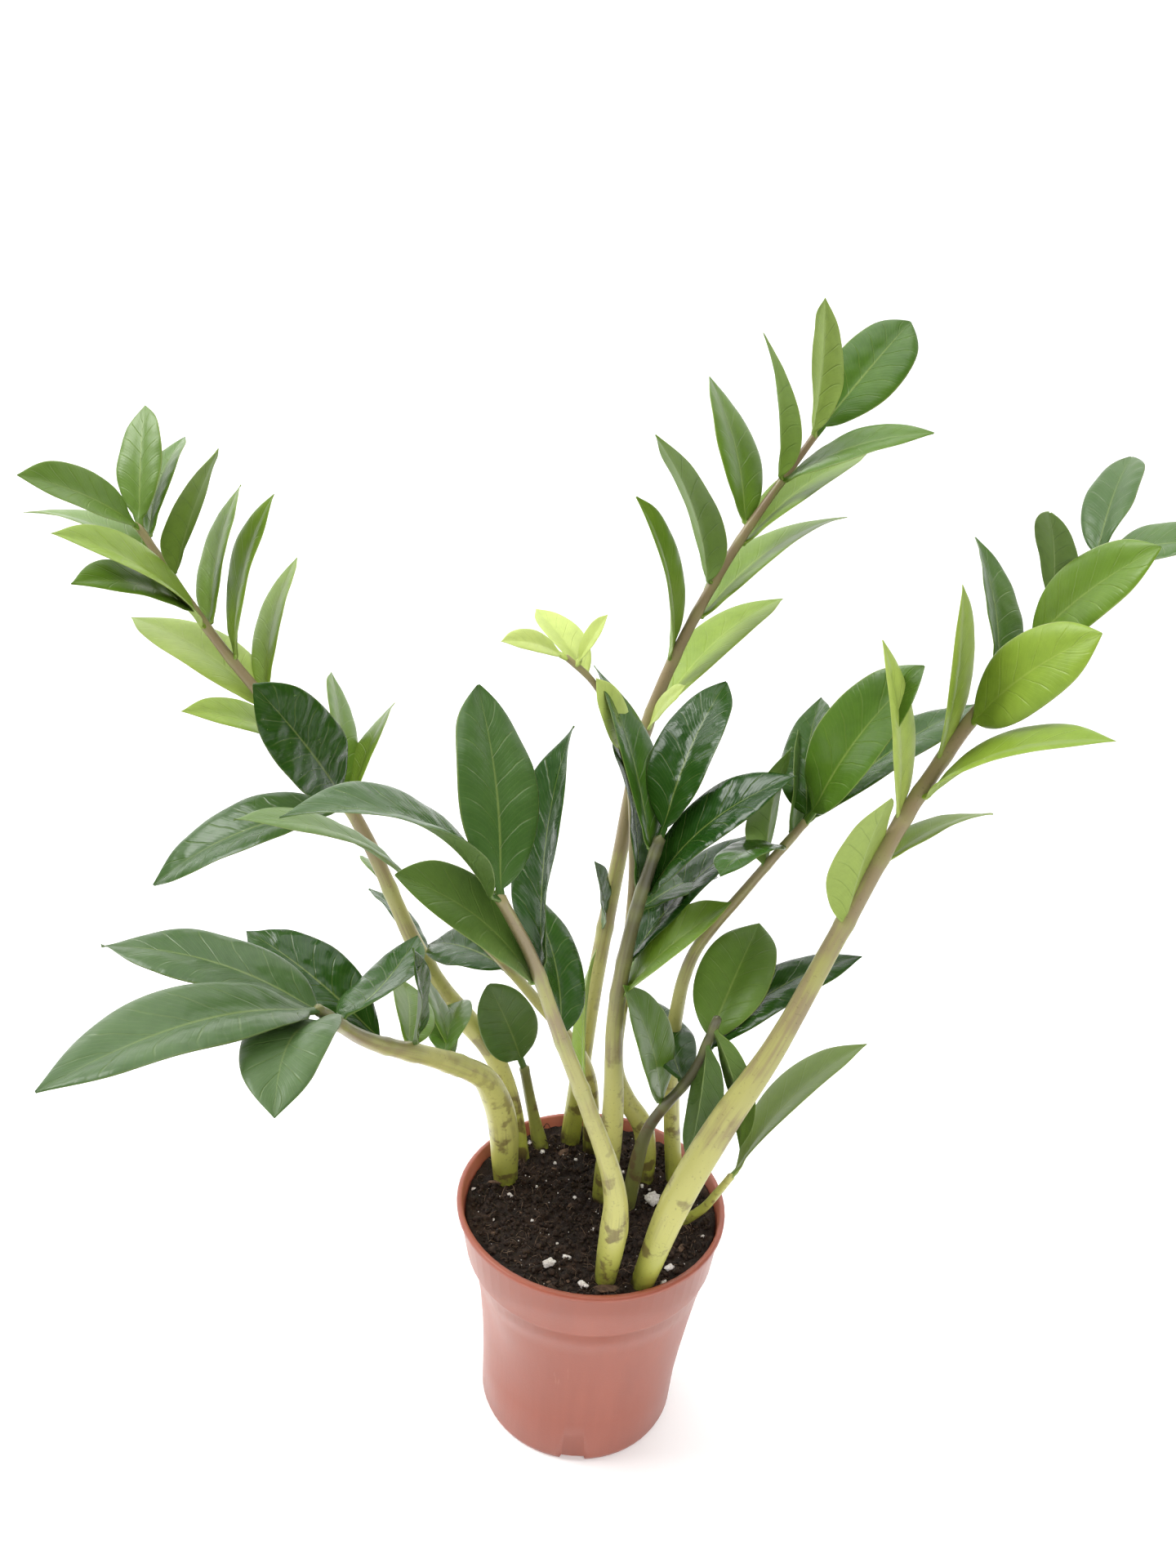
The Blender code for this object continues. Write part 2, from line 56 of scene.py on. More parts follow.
# Floor, in metres: half its width, its near edge, where it bends, the bend's radius, the backdrop's height
FLOOR_HALF_WIDTH = 4.0
FLOOR_NEAR = -3.0
FLOOR_FAR = 0.55
FLOOR_BEND = 0.35
BACKDROP_HEIGHT = 3.0
# Lamps: name, place, size, watts, and whether glossy skins mirror it
LAMPS = (
    ("window", (-1.25, 0.05, 1.55), 1.0, 31.0, True),
    ("fill", (0.5, -1.6, 1.5), 1.4, 29.0, False),
    ("top", (0.2, 0.1, 2.2), 1.6, 18.0, True),
)

# Camera: its place in rim radii, its tilts in degrees, its lens and sensor in millimetres
CAMERA_PLACE = (-0.25, -7.5, 8.4)
CAMERA_PITCH = 23.1
CAMERA_ROLL = 4.2
CAMERA_LENS = 19.4
CAMERA_SENSOR = 24.0

# How many places along a stem's middle line are looked at for the nearest one
LINE_PLACES = 400

# Stems: sides, the step between rows, and the height above the soil at which the colours reach their top
STEM_SIDES = 20
STEM_STEP = 2.2 * MM
TALL_STEM = 0.40

# Soil: the grid, the drop of its lumpy top below the solid's, its swell and lumps, its rise at the wall, and
# how many points a ring of its wall has at least
SOIL_ROWS = 80
SOIL_SIDES = 260
SOIL_DROP = 1.6 * MM
SOIL_SWELL = 0.9 * MM
SOIL_LUMP = 1.6 * MM
SOIL_RISE = 2.2 * MM
LEAST_ON_WALL_RING = 24

# What lies on it: knobs on a lump of perlite, a chip's thickness, and how many roots, where and how finely
PERLITE_KNOBS = 11
CHIP_THICK = 1.1 * MM
ROOTS_PER_STEM = 5
BACK_ROOTS = 9
ROOT_ROWS = 12
BACK_ROOTS_PLACE = (-0.034, 0.043)

# How fresh each leaflet is: 0 is the oldest and darkest, 1 the youngest and most yellow.
STEM_TONE = {
    "tall_left": 0.46,
    "low_left": 0.12,
    "dark_back": 0.25,
    "front": 0.08,
    "behind_front": 0.30,
    "tall_centre": 0.50,
    "centre": 0.10,
    "young": 1.0,
    "inner_right": 0.20,
    "tall_right": 0.42,
    "small_right": 0.22,
    "shoot_right": 0.62,
}
LEAF_TONE = {
    "tall_left": {
        "upper_back": 0.36, "tip_left": 0.48, "tip": 0.42, "light_left": 0.84,
        "pale_front": 0.76, "dark_wide": 0.12, "drooping": 0.12, "upper_right": 0.50,
        "edge_right": 0.55, "mid_back": 0.62, "small_dark": 0.10, "small_light": 0.62,
        "upright": 0.56, "low_front": 0.72,
    },
    "low_left": {
        "fresh": 0.50, "long": 0.16, "wavy": 0.04, "hanging": 0.22, "cupped": 0.08, "inner": 0.40,
        "back": 0.34,
    },
    "dark_back": {"broad": 0.34},
    "front": {"upright": 0.22, "arching": 0.12, "slim_light": 0.68, "blunt": 0.42},
    "behind_front": {"pale": 0.38, "yellowing": 0.70, "dark": 0.08},
    "tall_centre": {
        "tip": 0.66, "tip_right": 0.34, "mid_right": 0.56, "low_right": 0.58, "low_left": 0.55,
        "lowest_right": 0.72, "bud": 0.95, "slim_dark": 0.15, "upper_right": 0.36,
        "mid_left": 0.40,
    },
    "centre": {"low_light": 0.54, "tip": 0.20, "wide": 0.05, "front_right": 0.00, "mid_right": 0.00},
    "inner_right": {"broad": 0.34, "olive": 0.38},
    "tall_right": {
        "back": 0.36, "front": 0.50, "tip_right": 0.28, "tip_left": 0.34, "tip": 0.22,
        "light": 0.74, "pale": 0.70, "slim": 0.80, "upright": 0.88, "low_pale": 0.74,
        "lowest": 0.78,
    },
    "small_right": {"twisted": 0.08, "broad": 0.46, "behind": 0.10, "near_left": 0.40, "hanging": 0.12},
    "shoot_right": {"pale": 0.70},
}

# How much of a greyish bloom dulls a leaflet, from 0 to 1: the grey it mixes into the colour is partly a real
# dull film and partly painted sheen.
LEAF_BLOOM_AND_SHEEN = {
    "tall_left": {"drooping": 0.2, "tip": 0.35, "tip_left": 0.3},
    "low_left": {"long": 0.65, "upper": 0.5, "hanging": 0.7},
    "dark_back": {"broad": 0.6},
    "front": {"arching": 0.1, "blunt": 0.5, "upright": 0.3},
    "behind_front": {"pale": 0.6},
    "inner_right": {"olive": 0.5},
    "tall_right": {"tip": 0.5, "tip_left": 0.4, "low_pale": 0.4},
    "small_right": {"broad": 0.45, "near_left": 0.2},
    "shoot_right": {"pale": 0.8},
}

# Leaflets puckered more than the rest, by how many times.
CRUMPLED = {
    "tall_left": {"dark_wide": 3.2},
    "low_left": {"wavy": 2.0},
    "front": {"upright": 1.6},
}

# How far the dark skin of the upper stem reaches down each stem, from 0 to 1.
STEM_DARKNESS = {"dark_back": 0.75, "centre": 0.55, "small_right": 0.9, "low_left": 0.5, "behind_front": 0.3}
PLAIN_DARKNESS = 0.08

# The smaller leaflets, which no solid stands for, as
# (name, place along the stem, heading, rise, length, width, roll, bow, bluntness); lengths in millimetres.
SMALL_LEAVES = {
    "tall_left": [
        ("upright", 0.92, -32, 61, 66, 30, 15, 0.05, 0.0),
        ("edge_right", 0.79, 0, 75, 76, 27, 30, 0.05, 0.0),
        ("mid_back", 0.73, 88, 42, 74, 29, -50, 0.06, 0.0),
        ("left_under", 0.87, -114, 21, 70, 30, -30, 0.08, 0.0),
        ("fold_right", 0.57, 106, 30, 72, 28, 60, 0.05, 0.0),
        ("small_light", 0.555, 77, 30, 60, 26, -40, 0.05, 0.0),
        ("small_dark", 0.29, 130, 17, 56, 22, 35, 0.05, 0.0),
        ("tiny_dark", 0.42, 118, -3, 38, 16, 30, 0.05, 0.0),
    ],
    "low_left": [
        ("fresh", 0.58, 103, -1, 54, 26, 45, 0.05, 0.3),
        ("edge", 0.56, -88, 77, 56, 20, -100, 0.04, 0.0),
        ("inner", 0.41, 117, 16, 54, 21, 45, 0.04, 0.0),
        ("back", 0.46, 88, -5, 50, 21, -15, 0.05, 0.2),
    ],
    "front": [
        ("dark_behind", 0.6, 109, 27, 72, 33, 40, 0.06, 0.0),
        ("slim_light", 0.46, 88, 31, 62, 24, -75, 0.04, 0.0),
    ],
    "behind_front": [
        ("yellowing", 0.819, -94, 36, 46, 20, -10, 0.06, 0.0),
        ("dark", 0.584, 135, -15, 58, 29, -20, 0.05, 0.2),
    ],
    "tall_centre": [
        ("low_left", 0.66, -133, 67, 84, 36, -60, 0.06, 0.0),
        ("bud", 0.567, -48, 52, 34, 13, 50, 0.04, 0.0),
        ("slim_dark", 0.28, -120, 73, 44, 17, -70, 0.04, 0.0),
    ],
    "young": [
        ("end", 0.995, -139, 18, 34, 14, -35, 0.06, 0.0),
        ("left", 0.94, 130, 26, 44, 19, 0, 0.06, 0.0),
        ("sliver", 0.97, -23, 63, 26, 11, 45, 0.04, 0.0),
        ("side", 0.801, -140, 63, 40, 17, -75, 0.05, 0.0),
        ("low", 0.62, 90, 26, 42, 18, 50, 0.05, 0.0),
    ],
    "centre": [
        ("narrow_back", 0.822, 111, 47, 84, 37, 45, 0.05, 0.0),
        ("low_light", 0.53, -16, 53, 72, 34, 15, 0.06, 0.0),
        ("dark_flat", 0.787, 49, -2, 54, 26, -5, 0.07, 0.0),
    ],
    "inner_right": [
        ("dark_back", 0.995, 81, 33, 64, 29, -45, 0.05, 0.0),
        ("olive", 0.94, 84, 33, 58, 25, 55, 0.05, 0.0),
        ("upright", 0.84, -71, 80, 60, 27, 30, 0.05, 0.0),
        ("turned", 0.917, -124, 7, 54, 23, 10, 0.07, 0.0),
    ],
    "tall_right": [
        ("slim", 0.72, -136, 84, 70, 32, -75, 0.03, 0.0),
        ("upright", 0.64, 163, 76, 72, 26, -15, 0.04, 0.0),
        ("low_pale", 0.59, 31, 11, 58, 25, -20, 0.08, 0.0),
        ("lowest", 0.5, -64, 76, 64, 30, 10, 0.04, 0.2),
    ],
    "small_right": [
        ("near_left", 0.42, -176, 70, 66, 33, -30, 0.05, 0.3),
        ("behind", 0.58, 109, 6, 60, 30, 10, 0.05, 0.2),
        ("hanging", 0.867, -109, -78, 60, 28, -140, 0.05, 0.0),
        ("hanging_back", 0.95, -43, -68, 54, 21, -80, 0.05, 0.0),
    ],
}


# Reading the frame


def merged(obj):
    """A node's points with repeats merged, its triangles on them, and the set of edges."""
    mesh = obj.data
    points = np.empty(len(mesh.vertices) * 3)
    mesh.vertices.foreach_get("co", points)
    points = points.reshape(-1, 3)
    mesh.calc_loop_triangles()
    tris = np.empty(len(mesh.loop_triangles) * 3, np.int64)
    mesh.loop_triangles.foreach_get("vertices", tris)
    _, first, index = np.unique(np.round(points, 7), axis=0, return_index=True, return_inverse=True)
    tris = index.reshape(-1)[tris].reshape(-1, 3)
    edges = np.unique(np.sort(np.vstack([tris[:, [0, 1]], tris[:, [1, 2]], tris[:, [2, 0]]]), axis=1), axis=0)
    return points[first], tris, edges


def levels_from(start, edges, count):
    """How many edges lie between each point and the start point: every ring of a tube shares one number."""
    level = np.full(count, -1)
    level[start] = 0
    step = 0
    while (level < 0).any():
        reached = level == step
        near = np.concatenate([edges[reached[edges[:, 0]], 1], edges[reached[edges[:, 1]], 0]])
        fresh = near[level[near] < 0]
        if len(fresh) == 0:
            break
        step += 1
        level[fresh] = step
    return level


def rings_of(points, edges, start):
    """The points sorted into rings by their level from the start point."""
    level = levels_from(start, edges, len(points))
    return [points[level == k] for k in range(level.max() + 1)]


def smooth_through(values, at, places):
    """Values on a curve through all the given ones, which lie at `at`, with slopes averaged at each."""
    values = np.asarray(values, float)
    flat = values.reshape(len(values), -1)
    gap = np.diff(at)[:, None]
    slope = np.diff(flat, axis=0) / gap
    turn = np.vstack([slope[:1], slope[-1:]])
    if len(flat) > 2:
        between = (slope[:-1] * gap[1:] + slope[1:] * gap[:-1]) / (gap[:-1] + gap[1:])
        turn = np.vstack([slope[:1], between, slope[-1:]])
    part = np.clip(np.searchsorted(at, places, side="right") - 1, 0, len(gap) - 1)
    span = gap[part]
    u = (places - at[part])[:, None] / span
    made = (
        (2 * u**3 - 3 * u**2 + 1) * flat[part]
        + (u**3 - 2 * u**2 + u) * span * turn[part]
        + (3 * u**2 - 2 * u**3) * flat[part + 1]
        + (u**3 - u**2) * span * turn[part + 1]
    )
    return made.reshape((len(places),) + values.shape[1:])


def stem_line(node):
    """A stem's middle line and radius: ring centres from its lower pole to its upper one.

    A pole is a point that more edges leave than any other, and the lower pole is the deeper of the two.
    """
    points, _tris, edges = merged(node)
    spokes = np.bincount(edges.ravel(), minlength=len(points))
    poles = np.flatnonzero(spokes == spokes.max())
    lowest = int(poles[points[poles, 2].argmin()])
    rings = rings_of(points, edges, lowest)
    centres = np.array([ring.mean(axis=0) for ring in rings])
    radii = np.array([np.linalg.norm(ring - ring.mean(axis=0), axis=1).mean() for ring in rings])
    radii[0] = radii[1] * 0.6
    radii[-1] = radii[-2] * 0.6
    along = np.concatenate([[0.0], np.cumsum(np.linalg.norm(np.diff(centres, axis=0), axis=1))])
    return centres, radii, along


def nearest_on(line, point):
    """The nearest place on a stem's middle line: the point, the direction there and the radius."""
    centres, radii, along = line
    places = np.linspace(along[0], along[-1] - 3.0 * MM, LINE_PLACES)
    fine = smooth_through(centres, along, places)
    index = int(np.linalg.norm(fine - point, axis=1).argmin())
    ahead = fine[min(index + 1, LINE_PLACES - 1)] - fine[max(index - 1, 0)]
    return fine[index], ahead / np.linalg.norm(ahead), float(np.interp(places[index], along, radii))


def blade_from_node(node, line):
    """A blade's base, run to the tip, side, upper face, width, bow and bluntness, read from its solid.

    Each section of the solid has two edges and two ribs. The rib's share of the run places the section, its
    rise above the run gives the bow, and the half widths give the width and the bluntness that fit them best.
    """
    points, _tris, edges = merged(node)
    gaps = np.linalg.norm(points[:, None] - points[None], axis=2)
    a, b = np.unravel_index(gaps.argmax(), gaps.shape)
    near = [np.linalg.norm(nearest_on(line, points[k])[0] - points[k]) for k in (a, b)]
    start, end = (a, b) if near[0] < near[1] else (b, a)
    base, run = points[start], points[end] - points[start]
    length = np.linalg.norm(run)
    ribs, halves, faces = [], [], []
    for ring in rings_of(points, edges, start)[1:-1]:
        apart = np.linalg.norm(ring[:, None] - ring[None], axis=2)
        i, j = np.unravel_index(apart.argmax(), apart.shape)
        middle = ring[[k for k in range(len(ring)) if k not in (i, j)]].mean(axis=0)
        ribs.append(middle - base)
        halves.append(0.5 * np.linalg.norm(ring[i] - ring[j]))
        faces.append(0.5 * (ring[i] + ring[j]) - middle)
    ribs, halves = np.array(ribs), np.array(halves)
    upper = np.mean(faces[1:-1], axis=0)
    upper -= run * (upper @ run) / length**2
    upper /= np.linalg.norm(upper)
    u = ribs @ run / length**2
    arch = 4 * u * (1 - u)
    bow = (ribs @ upper) @ arch / (arch @ arch) / length
    best = None
    for blunt in np.linspace(0, 1, 21):
        shape = blade_half_width(u, blunt)
        scale = halves @ shape / (shape @ shape)
        miss = np.linalg.norm(halves - scale * shape)
        if best is None or miss < best[0]:
            best = (miss, 2 * scale, blunt)
    return base, run, np.cross(run / length, upper), upper, best[1], bow, best[2]


def blade_half_width(u, blunt):
    """Half a blade's width as a share of its greatest: rounded base, widest at BLADE_PEAK, pointed tip."""
    rising = np.sin(0.5 * np.pi * (np.minimum(u, BLADE_PEAK) / BLADE_PEAK) ** 0.72)
    past = np.clip((u - BLADE_PEAK) / (1.0 - BLADE_PEAK), 0.0, 1.0)
    pointed = np.cos(0.5 * np.pi * past) ** 0.65
    rounded = np.sqrt(1.0 - past**2.6)
    return np.where(u < BLADE_PEAK, rising, pointed + (rounded - pointed) * blunt)


def blade_from_words(line, leaf):
    """The same seven things for a small leaflet, from its place on the stem, heading, rise and roll."""
    _name, share, heading, rise, length, width, roll, bow, blunt = leaf
    centres, radii, along = line
    soil_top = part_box("soil")[1][2]
    start = along[int((centres[:, 2] > soil_top - 1.5 * MM).argmax())]
    at = start + (along[-1] - start) * share
    point = smooth_through(centres, along, np.array([at]))[0]
    radius = float(np.interp(at, along, radii))
    h, r, t = (math.radians(v) for v in (heading, rise, roll))
    forward = np.array([math.cos(r) * math.cos(h), math.cos(r) * math.sin(h), math.sin(r)])
    lifted = np.array([-math.sin(r) * math.cos(h), -math.sin(r) * math.sin(h), math.cos(r)])
    aside = np.cross(forward, lifted)
    upper = math.cos(t) * lifted + math.sin(t) * aside
    side = np.cross(forward, upper)
    base = point + forward * (radius + 1.2 * MM)
    return base, forward * length * MM, side, upper, width * MM, bow, blunt


# Meshes


def add_mesh(name, points, faces, material, replaced=(), uv=None, values=None):
    """An object from an array of points and its faces, with an optional UV map and point attributes."""
    mesh = bpy.data.meshes.new(name)
    mesh.from_pydata(points.tolist(), [], faces)
    if uv is not None:
        loops = np.empty(len(mesh.loops), np.int64)
        mesh.loops.foreach_get("vertex_index", loops)
        layer = mesh.uv_layers.new(name="UVMap")
        layer.data.foreach_set("uv", uv[loops].astype(np.float32).ravel())
    for key, data in (values or {}).items():
        attribute = mesh.attributes.new(key, "FLOAT", "POINT")
        attribute.data.foreach_set("value", np.broadcast_to(data, len(points)).astype(np.float32).copy())
    mesh.polygons.foreach_set("use_smooth", np.ones(len(mesh.polygons), bool))
    mesh.materials.append(material)
    mesh.update()
    obj = bpy.data.objects.new(name, mesh)
    bpy.context.scene.collection.objects.link(obj)
    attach(obj, BODY)
    if replaced:
        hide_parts(*replaced)
    return obj


def capped_tube(rows, sides):
    """The faces of a grid of rows whose sides close on themselves, with one face over each end."""
    a = np.arange(rows - 1)[:, None] * sides + np.arange(sides)
    b = np.arange(rows - 1)[:, None] * sides + (np.arange(sides) + 1) % sides
    faces = np.stack([a, b, b + sides, a + sides], -1).reshape(-1, 4).tolist()
    faces.append(list(range(sides - 1, -1, -1)))
    faces.append(list(range((rows - 1) * sides, rows * sides)))
    return faces


def copies(faces, count, size):
    """The faces of many like shapes one after another: indices move on by `size` from each to the next."""
    step = size * np.arange(count)[:, None, None]
    made = []
    for corners in sorted({len(face) for face in faces}):
        alike = np.array([face for face in faces if len(face) == corners])
        made += (alike + step).reshape(-1, corners).tolist()
    return made


def chance(name):
    """A piece's own random numbers, the same on every run."""
    return np.random.default_rng(zlib.crc32(name.encode()))


def turned(vectors, axes, angles):
    """Each vector turned about its own unit axis by its own angle."""
    c = np.cos(angles)[:, None]
    s = np.sin(angles)[:, None]
    dot = (vectors * axes).sum(axis=1)[:, None]
    return vectors * c + np.cross(axes, vectors) * s + axes * dot * (1 - c)


def make_blade(name, shape, line, finish, material, replaced=()):
    """A leaflet as one closed skin round its rib.

    Row u runs from inside the stem, up the short stalk, and along the rib to the tip. Column v runs from edge
    to edge over the upper face and back under the lower one. The blade's section is a shallow fold whose
    sides curl back near the edges, with a groove along the rib above and a keel below it. Ripples grow
    towards the edges, and older blades pucker between their side veins.
    """
    base, run, side, upper, width, bow, blunt = shape
    tone, bloom_and_sheen, crumpled = finish
    rng = chance(name)
    length = np.linalg.norm(run)
    root, _direction, _radius = nearest_on(line, base)
    old = 1.0 - tone
    u = np.concatenate([[0.0], 1 - (1 - np.linspace(0.012, 0.988, BLADE_ROWS - 5) ** 1.08) ** 1.05, [0.996]])
    tip_bend = rng.uniform(-0.05, 0.02)
    lifted = bow * 4 * u * (1 - u) + tip_bend * (u**4 - u)
    sickle = rng.uniform(-0.035, 0.035) * 4 * u * (1 - u)
    blade = base + run * u[:, None] + upper * (length * lifted)[:, None] + side * (length * sickle)[:, None]
    inside = root + (base - root) * 0.1
    stalk = inside + (blade[0] - inside) * np.array([0.0, 0.35, 0.7])[:, None]
    centre = np.vstack([stalk, blade])
    grown = np.concatenate([np.zeros(3), u])
    near_tip = np.clip((u - 0.78) / 0.22, 0, 1)
    pointing = (1.0 - near_tip**2.2) ** (0.62 * (1 - 0.8 * blunt))
    wide = np.concatenate([np.zeros(3), 0.5 * width * blade_half_width(u, blunt) * pointing])
    stalk_share = np.clip(1.0 - grown / 0.09, 0.0, 1.0) ** 1.5
    wide = np.maximum(wide, STALK_WIDE * stalk_share + 0.25 * MM * (1 - grown))
    thick = BLADE_THICK * (0.85 - 0.45 * grown) + (STALK_THICK - BLADE_THICK) * stalk_share

    ahead = np.gradient(centre, axis=0)
    ahead /= np.linalg.norm(ahead, axis=1)[:, None]
    twist = math.radians(rng.uniform(-14, 14)) * (grown - 0.2) * np.clip(grown * 4, 0, 1)
    normal = upper - ahead * (ahead @ upper)[:, None]
    normal /= np.linalg.norm(normal, axis=1)[:, None]
    normal = turned(normal, ahead, twist)
    across = np.cross(ahead, normal)

    # Columns: over the upper face from one edge to the other, then back underneath.
    top = np.sin(0.5 * np.pi * np.linspace(-1, 1, BLADE_COLUMNS))
    v = np.concatenate([top, top[-2:0:-1]])
    above = np.concatenate([np.ones(BLADE_COLUMNS), -np.ones(BLADE_COLUMNS - 2)])
    reach = np.abs(v)[None]
    g = grown[:, None]
    h = wide[:, None]
    opened = np.clip(g * 9, 0, 1)
    fold = math.radians(rng.uniform(15, 26)) * opened * (1.0 - 0.35 * g)
    curl = rng.uniform(0.05, 0.22)
    lift = h * (np.sin(fold) * reach**1.2 - curl * opened * reach**3.2)
    phase = rng.uniform(0, 2 * np.pi, 4)
    wave = (rng.uniform(0.2, 0.75) * MM) * (0.35 + 1.25 * old**2)
    sides = np.where(v[None] < 0, phase[0], phase[1])
    ripple = wave * np.sin(2 * np.pi * rng.uniform(1.2, 2.2) * g + sides) * reach**2.4 * opened
    ripple += 0.25 * wave * np.sin(2 * np.pi * rng.uniform(3.0, 4.5) * g + 1.7 * sides) * reach**2 * opened
    rib_phase = SIDE_VEINS * (g - VEIN_SLANT * reach * (1.0 - VEIN_BEND * reach)) + 0.5 * (v[None] > 0)
    bell = np.clip(reach / 0.12, 0, 1) * np.clip((1 - reach) / 0.16, 0, 1)
    bell = bell * np.clip((1 - g) * 5, 0, 1) * opened
    pucker = (0.10 + 0.40 * old**2) * MM * np.abs(np.sin(np.pi * rib_phase)) ** 1.4 * bell
    blister = 0.26 * MM * old**3 * np.sin(5.3 * rib_phase + phase[2]) * np.sin(9 * reach + phase[3]) * bell
    offset = lift + ripple + (pucker + blister) * crumpled
    edge = np.sqrt(np.clip(1 - reach ** (2 + 8 * opened), 0, 1)) * 0.94 + 0.06
    body = 0.5 * thick[:, None] * edge * above[None]
    groove = RIB_GROOVE * np.exp(-((reach * h / (0.9 * MM)) ** 2)) * opened * (1 - g) ** 0.5
    keel = RIB_KEEL * np.exp(-((reach * h / (0.95 * MM)) ** 2)) * opened * (1 - g) ** 0.7
    rise = offset + body - np.where(above[None] > 0, groove, keel)
    sweep = v[None] * h * np.cos(fold * 0.9)
    points = centre[:, None] + across[:, None] * sweep[..., None] + normal[:, None] * rise[..., None]

    rows, columns = points.shape[:2]
    uv = np.stack(np.broadcast_arrays(g, 0.5 + 0.5 * v[None]), -1)
    face_up = np.tile(0.5 + 0.5 * above, rows)
    flat = points.reshape(-1, 3)
    faces = outward(flat, capped_tube(rows, columns))
    values = {"tone": tone, "bloom_and_sheen": bloom_and_sheen, "face_up": face_up, "chance": rng.random()}
    return add_mesh(name, flat, faces, material, replaced, uv.reshape(-1, 2), values)


def outward(points, faces):
    """A closed skin's faces, turned over if its quads hold a volume below zero."""
    q = np.array([face for face in faces if len(face) == 4])
    a, b, c, d = (points[q[:, k]] - points.mean(axis=0) for k in range(4))
    volume = (np.cross(a, b) * c).sum() + (np.cross(a, c) * d).sum()
    return [face[::-1] for face in faces] if volume < 0 else faces


def make_stem(name, line, scars, darkness, material):
    """A stem as a tube along its middle line.

    Its radius swells at the foot and at each place a leaflet leaves, and faint ribs run lengthwise.
    """
    centres, radii, along = line
    rng = chance("stem_" + name)
    rows = max(12, int(along[-1] / STEM_STEP))
    at = np.linspace(along[0], along[-1], rows)
    centre = smooth_through(centres, along, at)
    radius = np.interp(at, along, radii)
    end = np.clip((along[-1] - at) / (2.2 * MM), 0, 1)
    foot = np.clip((at - along[0]) / (2.5 * MM), 0, 1)
    radius *= np.sqrt(np.clip(end, 0.02, 1)) * np.sqrt(np.clip(foot, 0.05, 1))
    knots = np.zeros(rows)
    for scar in scars:
        knots += np.exp(-(((at - scar) / (3.2 * MM)) ** 2))
    radius *= 1.0 + 0.10 * np.clip(knots, 0, 1)
    ahead = np.gradient(centre, axis=0)
    ahead /= np.linalg.norm(ahead, axis=1)[:, None]
    start = np.cross(ahead, np.array([0.0, -1.0, 0.15]))
    start /= np.linalg.norm(start, axis=1)[:, None]
    other = np.cross(ahead, start)
    turn = np.linspace(0, 2 * np.pi, STEM_SIDES, endpoint=False)
    rib = 1.0 + 0.012 * np.sin(5 * turn + rng.uniform(0, 6)) + 0.02 * np.sin(3 * turn + rng.uniform(0, 6))
    wide = radius[:, None] * rib[None]
    points = (
        centre[:, None]
        + start[:, None] * (np.cos(turn) * wide)[..., None]
        + other[:, None] * (np.sin(turn) * wide)[..., None]
    )
    height = np.clip((centre[:, 2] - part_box("soil")[1][2]) / TALL_STEM, -0.05, 1)
    values = {
        "up": np.repeat(height, STEM_SIDES),
        "knot": np.repeat(np.clip(knots, 0, 1), STEM_SIDES),
        "tone": darkness,
    }
    uv = np.stack(np.broadcast_arrays((at / 0.1)[:, None], (turn / (2 * np.pi))[None]), -1).reshape(-1, 2)
    flat = points.reshape(-1, 3)
    faces = outward(flat, capped_tube(rows, STEM_SIDES))
    return add_mesh("fine_stem_" + name, flat, faces, material, ("stem_" + name,), uv, values)


# Node helpers


def new_material(name):
    made = bpy.data.materials.new(name)
    made.use_nodes = True
    made.node_tree.nodes.clear()
    return made


def new_skin(name):
    """A new material, its tree, and the places on the object and on its map."""
    made = new_material(name)
    place = node(made.node_tree, "ShaderNodeTexCoord")
    return made, made.node_tree, place.outputs["Object"], place.outputs["UV"]


def node(tree, kind, **settings):
    made = tree.nodes.new(kind)
    for key, value in settings.items():
        setattr(made, key, value)
    return made


def feed(tree, value, socket):
    """Gives a socket a number, a colour or another socket's value."""
    if isinstance(value, (int, float)):
        socket.default_value = value
    elif isinstance(value, tuple):
        socket.default_value = (*value, 1.0)
    else:
        tree.links.new(value, socket)


def maths(tree, operation, a, b=None, clamp=False):
    made = node(tree, "ShaderNodeMath", operation=operation, use_clamp=clamp)
    feed(tree, a, made.inputs[0])
    if b is not None:
        feed(tree, b, made.inputs[1])
    return made.outputs[0]


def plus(tree, a, b, clamp=False):
    return maths(tree, "ADD", a, b, clamp)


def minus(tree, a, b):
    return maths(tree, "SUBTRACT", a, b)


def times(tree, a, b, clamp=False):
    return maths(tree, "MULTIPLY", a, b, clamp)


def mixed(tree, share, a, b, blend="MIX"):
    made = node(tree, "ShaderNodeMix", data_type="RGBA", blend_type=blend)
    for key, value in (("Factor", share), ("A", a), ("B", b)):
        socket = [s for s in made.inputs if s.name == key and (s.type == "RGBA") == (key != "Factor")][0]
        feed(tree, value, socket)
    return [s for s in made.outputs if s.type == "RGBA"][0]


def mapped(tree, value, low, high, to_low=0.0, to_high=1.0, smooth=True):
    made = node(tree, "ShaderNodeMapRange", interpolation_type="SMOOTHSTEP" if smooth else "LINEAR")
    tree.links.new(value, made.inputs["Value"])
    for key, number in (("From Min", low), ("From Max", high), ("To Min", to_low), ("To Max", to_high)):
        made.inputs[key].default_value = number
    return made.outputs["Result"]


def noise(tree, vector, scale, detail=3.0, rough=0.55):
    made = node(tree, "ShaderNodeTexNoise")
    tree.links.new(vector, made.inputs["Vector"])
    for key, number in (("Scale", scale), ("Detail", detail), ("Roughness", rough)):
        made.inputs[key].default_value = number
    return made.outputs["Fac"]


def cells(tree, vector, scale, feature):
    made = node(tree, "ShaderNodeTexVoronoi", feature=feature)
    tree.links.new(vector, made.inputs["Vector"])
    made.inputs["Scale"].default_value = scale
    return made


